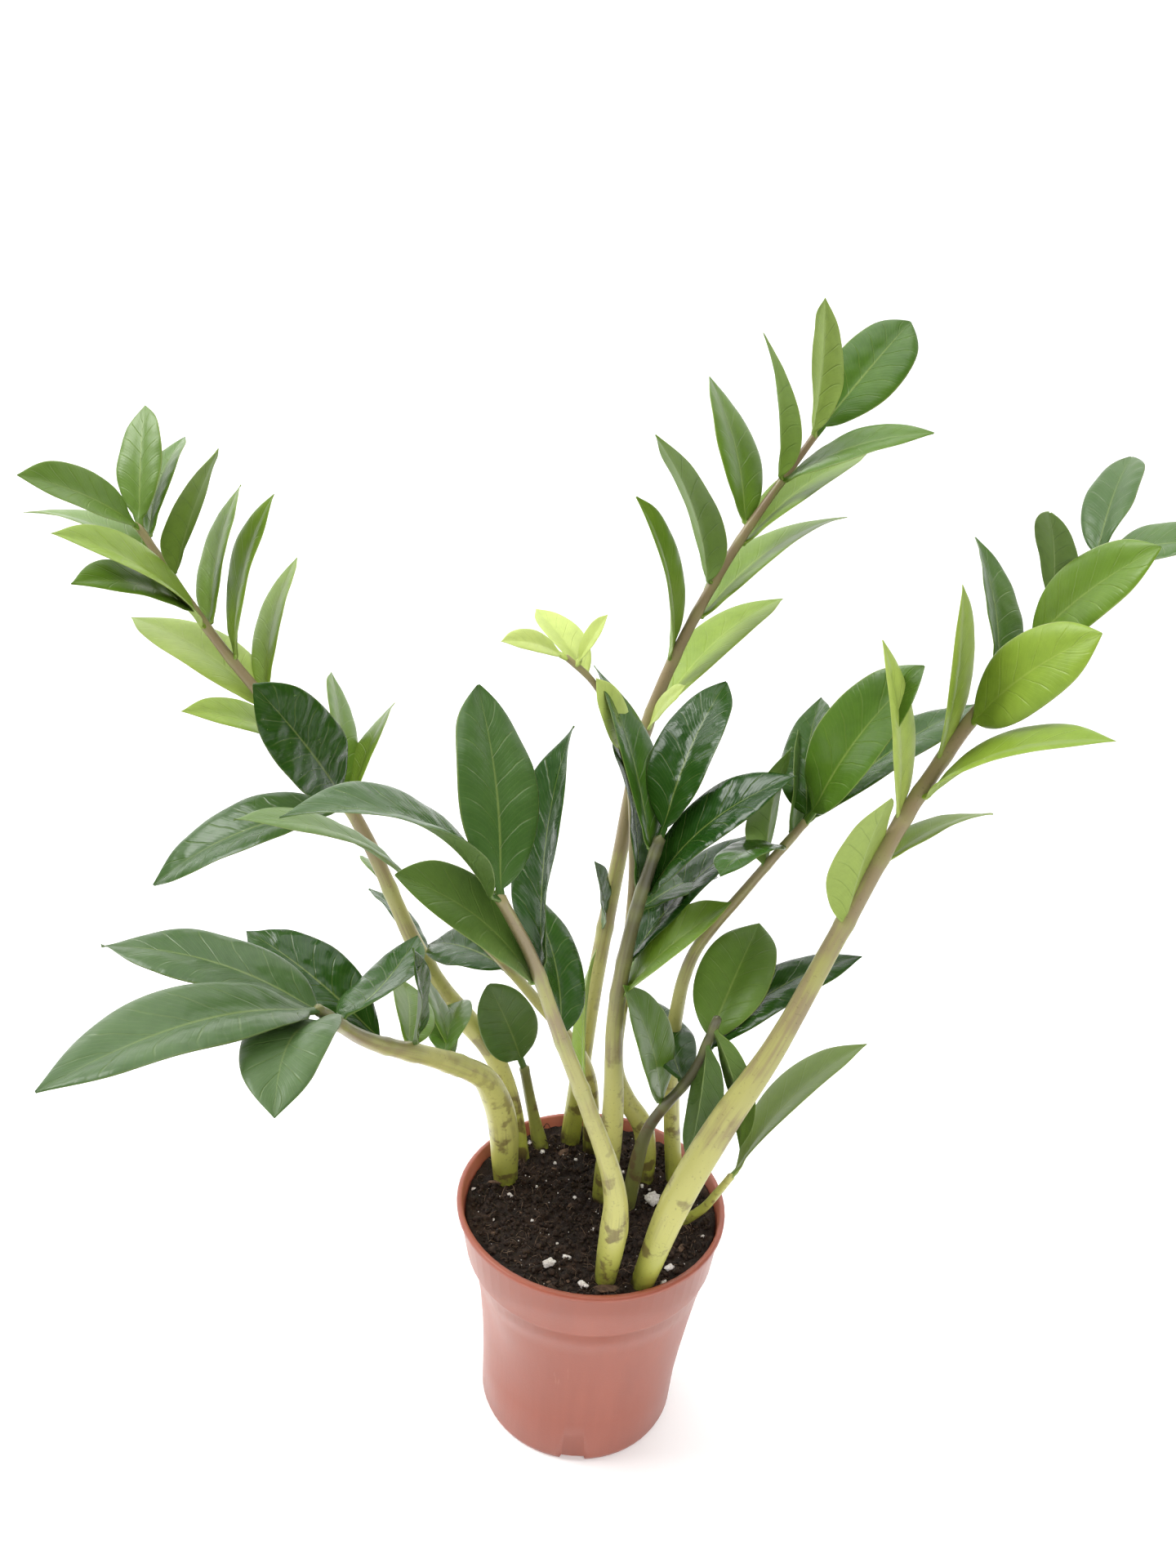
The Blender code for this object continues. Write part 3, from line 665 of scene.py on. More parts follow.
def stretched(tree, vector, scale, rotation=(0.0, 0.0, 0.0)):
    made = node(tree, "ShaderNodeMapping")
    tree.links.new(vector, made.inputs["Vector"])
    made.inputs["Rotation"].default_value = rotation
    made.inputs["Scale"].default_value = scale
    return made.outputs["Vector"]


def ramp(tree, value, stops):
    made = node(tree, "ShaderNodeValToRGB")
    tree.links.new(value, made.inputs["Fac"])
    band = made.color_ramp
    while len(band.elements) < len(stops):
        band.elements.new(0.5)
    for element, (place, colour) in zip(band.elements, stops):
        element.position = place
        element.color = (*colour, 1.0)
    return made.outputs["Color"]


def specks(tree, dust, where, amount):
    """The dust group's mask at a place, as strong as the amount."""
    made = node(tree, "ShaderNodeGroup", node_tree=dust)
    tree.links.new(where, made.inputs["Vector"])
    feed(tree, amount, made.inputs["Amount"])
    return made.outputs["Mask"]


def reading(tree, name):
    return node(tree, "ShaderNodeAttribute", attribute_name=name).outputs["Fac"]


def group(name, inputs, outputs):
    """An empty shader group with named sockets; the caller fills it."""
    made = bpy.data.node_groups.new(name, "ShaderNodeTree")
    for label, kind in inputs:
        made.interface.new_socket(name=label, in_out="INPUT", socket_type=kind)
    for label, kind in outputs:
        made.interface.new_socket(name=label, in_out="OUTPUT", socket_type=kind)
    return made, node(made, "NodeGroupInput"), node(made, "NodeGroupOutput")


def finished(material, colour, roughness, height, depth, specular):
    """The Principled shader at the end of a material, with a Bump node of that depth for its height."""
    tree = material.node_tree
    shader = node(tree, "ShaderNodeBsdfPrincipled")
    out = node(tree, "ShaderNodeOutputMaterial")
    tree.links.new(shader.outputs[0], out.inputs["Surface"])
    tree.links.new(colour, shader.inputs["Base Color"])
    tree.links.new(roughness, shader.inputs["Roughness"])
    shader.inputs["Specular IOR Level"].default_value = specular
    bump = node(tree, "ShaderNodeBump")
    bump.inputs["Strength"].default_value = 0.6
    bump.inputs["Distance"].default_value = depth
    tree.links.new(height, bump.inputs["Height"])
    tree.links.new(bump.outputs["Normal"], shader.inputs["Normal"])
    return material


# Shared effects


def dust_group():
    """Fine specks in patches, as a mask."""
    sockets = [("Vector", "NodeSocketVector"), ("Amount", "NodeSocketFloat")]
    tree, given, out = group("dust", sockets, [("Mask", "NodeSocketFloat")])
    where = given.outputs["Vector"]
    speck = mapped(tree, cells(tree, where, 420.0, "F1").outputs["Distance"], 0.16, 0.06)
    patch = mapped(tree, noise(tree, where, 70.0, 2.0), 0.55, 0.75)
    chosen = mapped(tree, noise(tree, where, 900.0, 1.0), 0.55, 0.6)
    sparse = times(tree, times(tree, speck, chosen), patch)
    mask = times(tree, sparse, given.outputs["Amount"], clamp=True)
    tree.links.new(mask, out.inputs["Mask"])
    return tree


def vein_group():
    """A blade's midrib, side veins and edge as masks of its own map: U along the rib, V from edge to edge."""
    tree, given, out = group(
        "veins",
        [("UV", "NodeSocketVector"), ("Warp", "NodeSocketFloat")],
        [(label, "NodeSocketFloat") for label in ("Rib", "Side", "Edge", "Fine")],
    )
    split = node(tree, "ShaderNodeSeparateXYZ")
    tree.links.new(given.outputs["UV"], split.inputs[0])
    u, v = split.outputs["X"], split.outputs["Y"]
    reach = maths(tree, "ABSOLUTE", times(tree, minus(tree, v, 0.5), 2.0))
    left = maths(tree, "GREATER_THAN", v, 0.5)
    bend = times(tree, reach, minus(tree, 1.0, times(tree, reach, VEIN_BEND)))
    slant = minus(tree, u, times(tree, bend, VEIN_SLANT))
    count = plus(tree, times(tree, slant, SIDE_VEINS), times(tree, left, 0.5))
    warped = plus(tree, count, times(tree, given.outputs["Warp"], 0.35))
    saw = maths(tree, "PINGPONG", warped, 0.5)
    side = mapped(tree, saw, 0.055, 0.0)
    fade = mapped(tree, reach, 0.95, 0.6)
    tree.links.new(times(tree, side, fade), out.inputs["Side"])
    fine = maths(tree, "PINGPONG", times(tree, warped, 5.0), 0.5)
    tree.links.new(mapped(tree, fine, 0.2, 0.0), out.inputs["Fine"])
    narrowing = plus(tree, reach, times(tree, u, 0.035))
    tree.links.new(mapped(tree, narrowing, 0.060, 0.02), out.inputs["Rib"])
    tree.links.new(mapped(tree, reach, 0.955, 0.985), out.inputs["Edge"])
    return tree


# Materials


def leaf_material(name, veins, dust):
    """A leaflet's skin: deep or fresh green by its tone, glossy above, paler and duller beneath, greyed by a
    bloom that is partly painted sheen.
    """
    made, tree, where, on_map = new_skin(name)
    tone = reading(tree, "tone")
    face_up = mapped(tree, reading(tree, "face_up"), 0.35, 0.65)
    broad = noise(tree, where, 28.0, 3.0)
    fine = noise(tree, where, 260.0, 4.0, 0.6)
    marks = node(tree, "ShaderNodeGroup", node_tree=veins)
    tree.links.new(on_map, marks.inputs["UV"])
    tree.links.new(noise(tree, where, 60.0, 2.0), marks.inputs["Warp"])
    dusty = specks(tree, dust, where, mapped(tree, reading(tree, "chance"), 0.5, 0.95))

    shade = plus(tree, tone, times(tree, minus(tree, broad, 0.5), 0.22), clamp=True)
    green = ramp(tree, shade, [
        (0.0, (0.010, 0.044, 0.004)),
        (0.25, (0.040, 0.105, 0.010)),
        (0.50, (0.112, 0.205, 0.016)),
        (0.75, (0.220, 0.325, 0.034)),
        (1.0, (0.470, 0.560, 0.150)),
    ])
    under = ramp(tree, tone, [
        (0.0, (0.055, 0.110, 0.020)),
        (0.5, (0.145, 0.240, 0.030)),
        (1.0, (0.400, 0.490, 0.120)),
    ])
    pale = mixed(tree, 0.30, green, (0.50, 0.58, 0.16))
    upper = mixed(tree, times(tree, marks.outputs["Side"], 0.22), green, pale)
    upper = mixed(tree, times(tree, marks.outputs["Fine"], 0.06), upper, pale)
    upper = mixed(tree, times(tree, marks.outputs["Rib"], 0.70), upper, pale)
    lower = mixed(tree, times(tree, marks.outputs["Rib"], 0.6), under, (0.33, 0.42, 0.15))
    lower = mixed(tree, times(tree, marks.outputs["Side"], 0.15), lower, (0.05, 0.12, 0.04))
    colour = mixed(tree, face_up, lower, upper)
    margin = times(tree, marks.outputs["Edge"], mapped(tree, tone, 0.0, 0.6, 0.14, 0.5))
    colour = mixed(tree, margin, colour, (0.36, 0.42, 0.12))
    bloom_and_sheen = reading(tree, "bloom_and_sheen")
    # The bloom's grey mixed into the colour: partly a real dull film, partly painted sheen.
    bloom_and_sheen_share = times(tree, bloom_and_sheen, mapped(tree, broad, 0.2, 0.7, 0.20, 0.45))
    colour = mixed(tree, bloom_and_sheen_share, colour, (0.155, 0.195, 0.115))
    mottled = mixed(tree, mapped(tree, fine, 0.35, 0.7, 0.0, 0.18), colour, (0.02, 0.05, 0.01), "MULTIPLY")
    colour = mixed(tree, 0.5, colour, mottled)
    colour = mixed(tree, times(tree, dusty, 0.6), colour, (0.55, 0.6, 0.5))

    gloss = mapped(tree, shade, 0.0, 0.8, 0.17, 0.38, smooth=False)
    gloss = plus(tree, gloss, times(tree, broad, 0.10))
    dull = minus(tree, 1.0, face_up)
    rough = plus(tree, gloss, times(tree, dull, 0.25))
    rough = plus(tree, rough, times(tree, bloom_and_sheen, 0.10))
    rough = plus(tree, rough, times(tree, dusty, 0.3), clamp=True)

    quilt = cells(tree, where, 190.0, "SMOOTH_F1")
    quilt.inputs["Smoothness"].default_value = 0.7
    crinkled = times(tree, quilt.outputs["Distance"], mapped(tree, tone, 0.5, 0.0, 0.15, 1.6))
    height = times(tree, marks.outputs["Side"], -0.45)
    height = minus(tree, height, times(tree, marks.outputs["Fine"], 0.08))
    height = plus(tree, height, times(tree, fine, 0.25))
    height = minus(tree, height, crinkled)
    return finished(made, colour, rough, height, 0.0005, specular=0.36)


def stem_material(name):
    """Stem skin: yellow-green and brown-scarred at the foot, streaked mauve-brown and green above."""
    made, tree, where, on_map = new_skin(name)
    up = reading(tree, "up")
    knot = reading(tree, "knot")
    streak = noise(tree, stretched(tree, on_map, (0.7, 5.0, 1.0)), 2.6, 4.0, 0.6)
    blotch = noise(tree, where, 85.0, 4.0, 0.6)
    fleck = noise(tree, where, 700.0, 2.0, 0.6)
    pale = ramp(tree, up, [
        (0.0, (0.36, 0.39, 0.050)),
        (0.10, (0.52, 0.50, 0.150)),
        (0.30, (0.40, 0.38, 0.130)),
        (0.65, (0.21, 0.215, 0.070)),
        (1.0, (0.16, 0.20, 0.045)),
    ])
    mauve = ramp(tree, up, [
        (0.0, (0.17, 0.16, 0.035)),
        (0.2, (0.30, 0.245, 0.110)),
        (0.45, (0.27, 0.215, 0.115)),
        (1.0, (0.185, 0.125, 0.068)),
    ])
    dark = ramp(tree, up, [
        (0.0, (0.20, 0.22, 0.05)),
        (0.15, (0.10, 0.095, 0.05)),
        (1.0, (0.055, 0.050, 0.036)),
    ])
    side = noise(tree, where, 42.0, 2.0, 0.5)
    browner = plus(tree, times(tree, streak, 0.45), times(tree, side, 0.55))
    browner = plus(tree, browner, mapped(tree, up, 0.10, 0.75, -0.08, 0.17))
    light = mixed(tree, mapped(tree, browner, 0.43, 0.60), pale, mauve)
    darkness = plus(tree, up, times(tree, reading(tree, "tone"), 1.6))
    colour = mixed(tree, mapped(tree, darkness, 1.05, 1.35), light, dark)
    scarred = times(tree, mapped(tree, blotch, 0.53, 0.62), mapped(tree, up, 0.34, 0.02))
    colour = mixed(tree, times(tree, scarred, 0.75), colour, (0.105, 0.055, 0.028))
    colour = mixed(tree, times(tree, knot, 0.22), colour, (0.30, 0.34, 0.10))
    colour = mixed(tree, mapped(tree, fleck, 0.62, 0.72, 0.0, 0.35), colour, (0.12, 0.09, 0.05))
    earthy = times(tree, mapped(tree, up, 0.02, -0.005), mapped(tree, blotch, 0.35, 0.6))
    colour = mixed(tree, earthy, colour, (0.05, 0.03, 0.02))
    rough = mapped(tree, streak, 0.3, 0.7, 0.28, 0.42, smooth=False)
    height = plus(tree, times(tree, streak, 0.5), times(tree, blotch, 0.3))
    return finished(made, colour, rough, height, 0.0003, specular=0.45)


def pot_material(name, dust):
    """Thin terracotta-coloured plastic: soft sheen, faint vertical flow marks, scuffs and specks of peat."""
    made, tree, where, _on_map = new_skin(name)
    broad = noise(tree, where, 16.0, 3.0)
    fine = noise(tree, where, 900.0, 3.0, 0.6)
    flow = noise(tree, stretched(tree, where, (1.0, 1.0, 0.08)), 140.0, 4.0, 0.6)
    scuffed = stretched(tree, where, (1.0, 1.0, 0.05), (0.3, 0.5, 0.2))
    scuff = mapped(tree, noise(tree, scuffed, 420.0, 2.0), 0.68, 0.76)
    colour = ramp(tree, broad, [(0.3, (0.320, 0.086, 0.052)), (0.7, (0.370, 0.104, 0.064))])
    colour = mixed(tree, mapped(tree, flow, 0.35, 0.7, 0.0, 0.25), colour, (0.27, 0.072, 0.045))
    colour = mixed(tree, times(tree, scuff, 0.25), colour, (0.50, 0.22, 0.16))
    dusty = specks(tree, dust, where, 0.9)
    colour = mixed(tree, times(tree, dusty, 0.7), colour, (0.06, 0.035, 0.025))
    rough = mapped(tree, broad, 0.3, 0.7, 0.28, 0.38, smooth=False)
    rough = plus(tree, rough, times(tree, scuff, 0.15))
    height = plus(tree, times(tree, flow, 0.5), times(tree, fine, 0.25))
    return finished(made, colour, rough, height, 0.0003, specular=0.5)


def peat_material(name):
    """Damp peat: near black with brown fibres, matt with a few wet glints."""
    made, tree, where, _on_map = new_skin(name)
    lumps = noise(tree, where, 240.0, 5.0, 0.65)
    grains = noise(tree, where, 1300.0, 4.0, 0.7)
    patch = noise(tree, where, 55.0, 3.0)
    shade = plus(tree, times(tree, lumps, 0.6), times(tree, patch, 0.4))
    colour = ramp(tree, shade, [
        (0.34, (0.0060, 0.0040, 0.0032)),
        (0.52, (0.0200, 0.0120, 0.0085)),
        (0.68, (0.0600, 0.0340, 0.0220)),
    ])
    fibre = cells(tree, where, 330.0, "DISTANCE_TO_EDGE").outputs["Distance"]
    hair = times(tree, mapped(tree, fibre, 0.05, 0.0), mapped(tree, grains, 0.5, 0.65))
    colour = mixed(tree, times(tree, hair, 0.5), colour, (0.16, 0.09, 0.05))
    rough = mapped(tree, grains, 0.4, 0.75, 0.92, 0.55, smooth=False)
    height = plus(tree, lumps, times(tree, grains, 0.5))
    return finished(made, colour, rough, height, 0.0012, specular=0.3)


def crumb_material(name, low, high, scale, roughness):
    """Bits lying on the soil: a speckled colour between two shades, with a rough broken skin."""
    made, tree, where, _on_map = new_skin(name)
    spots = noise(tree, where, scale, 4.0, 0.65)
    colour = ramp(tree, spots, [(0.35, low), (0.65, high)])
    rough = mapped(tree, spots, 0.3, 0.7, roughness, roughness - 0.12, smooth=False)
    return finished(made, colour, rough, spots, 0.0006, specular=0.35)


# Soil and what lies on it


def value_noise(x, y, seed):
    """Smooth noise over the plane: random values at whole numbers, eased between, about -1 to 1."""
    rng = np.random.default_rng(seed)
    table = rng.uniform(-1, 1, (64, 64))
    i, j = np.floor(x).astype(int), np.floor(y).astype(int)
    s, t = x - i, y - j
    s, t = s * s * (3 - 2 * s), t * t * (3 - 2 * t)
    a = table[i % 64, j % 64] * (1 - s) + table[(i + 1) % 64, j % 64] * s
    b = table[i % 64, (j + 1) % 64] * (1 - s) + table[(i + 1) % 64, (j + 1) % 64] * s
    return a * (1 - t) + b * t


def soil_height(x, y, level):
    """The peat's surface: a gentle swell, lumps in three sizes, and a rise against the wall."""
    reach = np.hypot(x, y) / soil_radius()
    swell = SOIL_SWELL * value_noise(x / 0.022 + 9, y / 0.022 + 9, 3)
    lumps = SOIL_LUMP * np.abs(value_noise(x / 0.0052 + 40, y / 0.0052 + 40, 5))
    crumbs = 0.55 * SOIL_LUMP * value_noise(x / 0.0021 + 90, y / 0.0021 + 90, 7)
    grains = 0.28 * SOIL_LUMP * value_noise(x / 0.0010 + 130, y / 0.0010 + 130, 8)
    return level + swell + lumps + crumbs + grains + SOIL_RISE * np.clip((reach - 0.78) / 0.2, 0, 1) ** 2


def soil_level():
    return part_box("soil")[1][2] - SOIL_DROP


def soil_radius():
    low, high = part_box("soil")
    return 0.5 * (high[0] - low[0])


def wall_rings(points):
    """The soil node's outer rings from its floor up to its shoulder: each a height, headings and radii."""
    heights, group, count = np.unique(np.round(points[:, 2], 5), return_inverse=True, return_counts=True)
    rings = []
    for k in np.flatnonzero(count >= LEAST_ON_WALL_RING):
        ring = points[group == k]
        reach = np.hypot(ring[:, 0], ring[:, 1])
        ring = ring[reach > 0.8 * reach.max()]
        heading = np.arctan2(ring[:, 1], ring[:, 0])
        order = np.argsort(heading)
        rings.append((heights[k], heading[order], np.hypot(ring[:, 0], ring[:, 1])[order]))
    return rings


def make_soil(frame, material):
    """The soil as one skin: its lumpy top over rings and turns, run down the wall and closed underneath."""
    level = soil_level()
    points, _tris, _edges = merged(frame["nodes"]["soil"])
    turn = np.linspace(-np.pi, np.pi, SOIL_SIDES, endpoint=False)
    walls = []
    for height, heading, reach in wall_rings(points):
        out = np.interp(turn, heading, reach, period=2 * np.pi)
        if height < level - 2.0 * MM:
            walls.append(np.stack([out * np.cos(turn), out * np.sin(turn), np.full(SOIL_SIDES, height)], -1))
            brim = out
    reach = np.linspace(1.0, 0.02, SOIL_ROWS)
    x = reach[:, None] * (brim * np.cos(turn))[None]
    y = reach[:, None] * (brim * np.sin(turn))[None]
    top = np.stack([x, y, soil_height(x, y, level)], -1)
    grid = np.vstack([np.array(walls), top]).reshape(-1, 3)
    faces = outward(grid, capped_tube(len(walls) + SOIL_ROWS, SOIL_SIDES))
    return add_mesh("fine_soil", grid, faces, material, ("soil",))


def ball(rows=5, sides=7):
    """Points and faces of a small round ball of radius 1, with one flat face at each pole."""
    lat = np.linspace(-0.42, 0.42, rows) * np.pi
    turn = np.linspace(0, 2 * np.pi, sides, endpoint=False)
    ring = np.cos(lat)
    points = np.stack([
        ring[:, None] * np.cos(turn)[None],
        ring[:, None] * np.sin(turn)[None],
        np.broadcast_to(np.sin(lat)[:, None], (rows, sides)),
    ], -1).reshape(-1, 3)
    return points, capped_tube(rows, sides)


def clear_of_stems(x, y, size, feet):
    """True where a bit of that size would not sit inside a stem."""
    free = np.ones(len(x), bool)
    for foot_x, foot_y, foot_radius in feet:
        free &= np.hypot(x - foot_x, y - foot_y) > foot_radius + 0.6 * size
    return free


def scatter(name, count, sizes, flat, sink, ragged, material, seed, feet):
    """Many small lumps on the soil as one mesh.

    Each is a ball squeezed at random along its three axes, knobbled by its own random bumps, turned at
    random and sunk a little into the peat.
    """
    radius = soil_radius() - 2.0 * MM
    rng = np.random.default_rng(seed)
    reach = radius * np.sqrt(rng.random(count * 2)) * 0.985
    turn = rng.uniform(0, 2 * np.pi, count * 2)
    size = rng.uniform(sizes[0] * MM, sizes[1] * MM, count * 2) * rng.uniform(0.6, 1.0, count * 2)
    x, y = reach * np.cos(turn), reach * np.sin(turn)
    keep = np.flatnonzero(clear_of_stems(x, y, size, feet))[:count]
    x, y, size = x[keep], y[keep], size[keep]
    count = len(keep)
    unit, unit_faces = ball()
    stretch = rng.uniform(0.65, 1.0, (count, 3)) * np.array([1.0, 0.85, flat])
    shapes = unit[None] * (1 + rng.uniform(-ragged, ragged, (count, len(unit), 1))) * stretch[:, None]
    spin = rng.uniform(0, 2 * np.pi, count)
    tip = rng.uniform(-0.6, 0.6, count)
    shapes = turned_all(shapes, spin, tip) * (0.5 * size)[:, None, None]
    z = soil_height(x, y, soil_level()) + 0.5 * size * flat * (1 - sink)
    points = (shapes + np.stack([x, y, z], -1)[:, None]).reshape(-1, 3)
    return add_mesh(name, points, copies(unit_faces, count, len(unit)), material)


def turned_all(shapes, spin, tip):
    """Every shape tipped about X and then spun about Z by its own two angles."""
    ct, st = np.cos(tip)[:, None], np.sin(tip)[:, None]
    x, y, z = shapes[..., 0], shapes[..., 1], shapes[..., 2]
    y, z = y * ct - z * st, y * st + z * ct
    cs, ss = np.cos(spin)[:, None], np.sin(spin)[:, None]
    return np.stack([x * cs - y * ss, x * ss + y * cs, z], -1)


def fibres(name, count, lengths, thickness, material, feet, seed, lift=0.6):
    """Thin bent fibres on the soil as one mesh: each a tube of seven rows and four sides along an arc."""
    radius = soil_radius() - 5.0 * MM
    rng = np.random.default_rng(seed)
    reach = radius * np.sqrt(rng.random(count))
    turn = rng.uniform(0, 2 * np.pi, count)
    x, y = reach * np.cos(turn), reach * np.sin(turn)
    keep = clear_of_stems(x, y, 4 * MM, feet)
    x, y = x[keep], y[keep]
    count = len(x)
    rows, sides = 7, 4
    t = np.linspace(-0.5, 0.5, rows)
    length = rng.uniform(*lengths, count)
    heading = rng.uniform(0, 2 * np.pi, count)
    bend = rng.uniform(-1.6, 1.6, count)
    angle = heading[:, None] + bend[:, None] * t[None]
    px = x[:, None] + np.cumsum(np.cos(angle), axis=1) * (length / rows)[:, None]
    py = y[:, None] + np.cumsum(np.sin(angle), axis=1) * (length / rows)[:, None]
    arch = rng.uniform(0.2, lift, count)[:, None] * MM * 3 * (0.25 - t[None] ** 2) * 4
    limit = radius + 3 * MM
    far = np.maximum(np.hypot(px, py) / limit, 1.0)
    px, py = px / far, py / far
    pz = soil_height(px, py, soil_level()) + arch + 0.2 * MM
    thick = rng.uniform(*thickness, count)[:, None] * (1.0 - 1.2 * t[None] ** 2)
    corner = np.array([0.25, 0.75, 1.25, 1.75]) * np.pi
    nx, ny = -np.sin(angle), np.cos(angle)
    points = np.stack([
        px[..., None] + nx[..., None] * thick[..., None] * np.cos(corner),
        py[..., None] + ny[..., None] * thick[..., None] * np.cos(corner),
        pz[..., None] + thick[..., None] * np.sin(corner),
    ], -1).reshape(-1, 3)
    unit_faces = [face[::-1] for face in capped_tube(rows, sides)]
    return add_mesh(name, points, copies(unit_faces, count, rows * sides), material)


# Skins of the bits: dark and light colour, how fine the speckle is, and roughness
BIT_SKINS = {
    "peat_crumb": ((0.006, 0.004, 0.0032), (0.046, 0.027, 0.018), 420.0, 0.92),
    "perlite": ((0.50, 0.44, 0.40), (0.84, 0.80, 0.76), 900.0, 0.85),
    "bark_chip": ((0.045, 0.025, 0.016), (0.16, 0.095, 0.058), 420.0, 0.85),
    "fibre": ((0.06, 0.036, 0.022), (0.22, 0.15, 0.10), 300.0, 0.85),
    "root_skin": ((0.012, 0.009, 0.008), (0.05, 0.035, 0.028), 500.0, 0.7),
}
# Loose bits: name, count, sizes in millimetres, flatness, share sunk, raggedness, skin and seed
LOOSE_BITS = (
    ("peat_crumbs", 2200, (0.9, 3.4), 0.8, 0.45, 0.42, "peat_crumb", 11),
    ("peat_lumps", 130, (3.2, 6.0), 0.7, 0.55, 0.35, "peat_crumb", 16),
    ("perlite_grit", 150, (0.35, 1.3), 0.8, 0.3, 0.30, "perlite", 12),
    ("bark_bits", 36, (1.6, 4.2), 0.35, 0.2, 0.25, "bark_chip", 14),
)
# The larger bits of perlite, as (x, y, size) in millimetres.
PERLITE = [
    (30.2, 7.1, 10.5), (-18.5, -40.4, 7.5), (-10.1, -33.5, 4.6), (-1.9, -51.5, 6.0), (37.5, -36.8, 5.5),
    (-39.7, 4.1, 3.6), (-25.7, 39.3, 3.8), (-7.9, 6.0, 3.0), (34.5, -47.0, 4.4), (-58.0, 6.8, 3.0),
    (-27.0, 12.1, 2.2), (-27.7, -10.7, 2.2), (-33.1, -26.0, 2.6), (25.6, 19.7, 3.0), (46.0, 25.5, 2.8),
    (29.4, 17.4, 2.4), (-14.9, -25.9, 1.8), (-18.9, 32.7, 2.6), (-8.4, 36.0, 2.8), (-33.0, 45.0, 4.2),
    (2.0, -14.0, 2.0), (54.0, -15.0, 2.4), (-46.0, -12.0, 2.0), (16.0, 28.0, 2.6),
]
# Flat chips of bark, as (x, y, length, width, heading).
CHIPS = [
    (8.4, -52.6, 13.0, 5.0, 10),
    (-14.1, 40.2, 7.0, 4.0, 15),
    (-47.0, 12.0, 8.0, 2.4, 5),
    (44.0, -22.0, 6.0, 3.0, 60),
]


def set_down(shape, x, y, heading, tip, lift):
    """A shape tipped, spun and moved to its place on the peat, x and y in millimetres."""
    height = float(soil_height(np.array(x * MM), np.array(y * MM), soil_level())) + lift
    return turned_all(shape[None], heading, tip)[0] + np.array([x * MM, y * MM, height])


def make_perlite_lumps(material):
    """Puffed grains: each is one ball pushed out along eleven random directions into round knobs."""
    rng = np.random.default_rng(21)
    unit, unit_faces = ball(11, 14)
    ways = unit / np.linalg.norm(unit, axis=1)[:, None]
    points = []
    for x, y, size in PERLITE:
        knobs = rng.normal(size=(PERLITE_KNOBS, 3))
        knobs /= np.linalg.norm(knobs, axis=1)[:, None]
        close = np.clip(ways @ knobs.T, 0, 1)
        out = 0.62 + 0.42 * (close**9).max(axis=1) + 0.05 * rng.uniform(-1, 1, len(ways))
        shape = ways * out[:, None] * np.array([1.0, 0.72, 0.62]) * 0.5 * size * MM
        heading, tip = rng.uniform(0, 2 * np.pi, 1), rng.uniform(-0.4, 0.4, 1)
        points.append(set_down(shape, x, y, heading, tip, 0.22 * size * MM))
    faces = copies(unit_faces, len(PERLITE), len(unit))
    return add_mesh("perlite_lumps", np.vstack(points), faces, material)


def make_bark_chips(material):
    """Thin chips: a rounded slab, its outline a superellipse with a ragged edge, bent a little."""
    rng = np.random.default_rng(22)
    unit, unit_faces = ball(7, 26)
    turn = np.arctan2(unit[:, 1], unit[:, 0])
    points = []
    for x, y, length, width, heading in CHIPS:
        ragged = 1 + 0.10 * np.sin(3 * turn + rng.uniform(0, 6))
        ragged = ragged + 0.07 * np.sin(8 * turn + rng.uniform(0, 6))
        shape = np.stack([
            0.5 * length * MM * ragged * np.sign(unit[:, 0]) * np.abs(unit[:, 0]) ** 0.7,
            0.5 * width * MM * ragged * np.sign(unit[:, 1]) * np.abs(unit[:, 1]) ** 0.7,
            0.5 * CHIP_THICK * unit[:, 2],
        ], -1)
        shape[:, 2] -= 0.10 * width * MM * (unit[:, 0] ** 2)
        spin, tip = np.radians([float(heading)]), rng.uniform(-0.15, 0.25, 1)
        points.append(set_down(shape, x, y, spin, tip, CHIP_THICK))
    faces = copies(unit_faces, len(CHIPS), len(unit))
    return add_mesh("bark_chips", np.vstack(points), faces, material)


def round_tube(path, radii, sides=8):
    """Points and faces of a closed tube of changing radius along a path."""
    ahead = np.gradient(path, axis=0)
    ahead /= np.linalg.norm(ahead, axis=1)[:, None]
    start = np.cross(ahead, np.array([0.13, 0.21, 0.97]))
    start /= np.linalg.norm(start, axis=1)[:, None]
    other = np.cross(ahead, start)
    turn = np.linspace(0, 2 * np.pi, sides, endpoint=False)
    round_it = start[:, None] * np.cos(turn)[None, :, None] + other[:, None] * np.sin(turn)[None, :, None]
    points = (path[:, None] + radii[:, None, None] * round_it).reshape(-1, 3)
    return points, outward(points, capped_tube(len(path), sides))


def root_tube(rng, start, reach_out, thick, lifted):
    """One root from (x, y, radius, heading): a wandering run in the plane, arched and dipping at its end."""
    x, y, radius, heading = start
    run = rng.uniform(*reach_out)
    t = np.linspace(0, 1, ROOT_ROWS)
    turn = heading + rng.uniform(-1.3, 1.3) * t
    path_x = x + np.cos(heading) * radius * 0.9 + np.cumsum(np.cos(turn)) * run / ROOT_ROWS
    path_y = y + np.sin(heading) * radius * 0.9 + np.cumsum(np.sin(turn)) * run / ROOT_ROWS
    far = np.maximum(np.hypot(path_x, path_y) / (soil_radius() - 2.5 * MM), 1.0)
    path_x, path_y = path_x / far, path_y / far
    arch = rng.uniform(0.8, 3.2) * MM * np.sin(np.pi * t) - 1.2 * MM * t**4
    path_z = soil_height(path_x, path_y, soil_level()) + arch + lifted * np.sin(np.pi * t)
    return round_tube(np.stack([path_x, path_y, path_z], -1), rng.uniform(*thick) * (1.05 - 0.6 * t), 5)


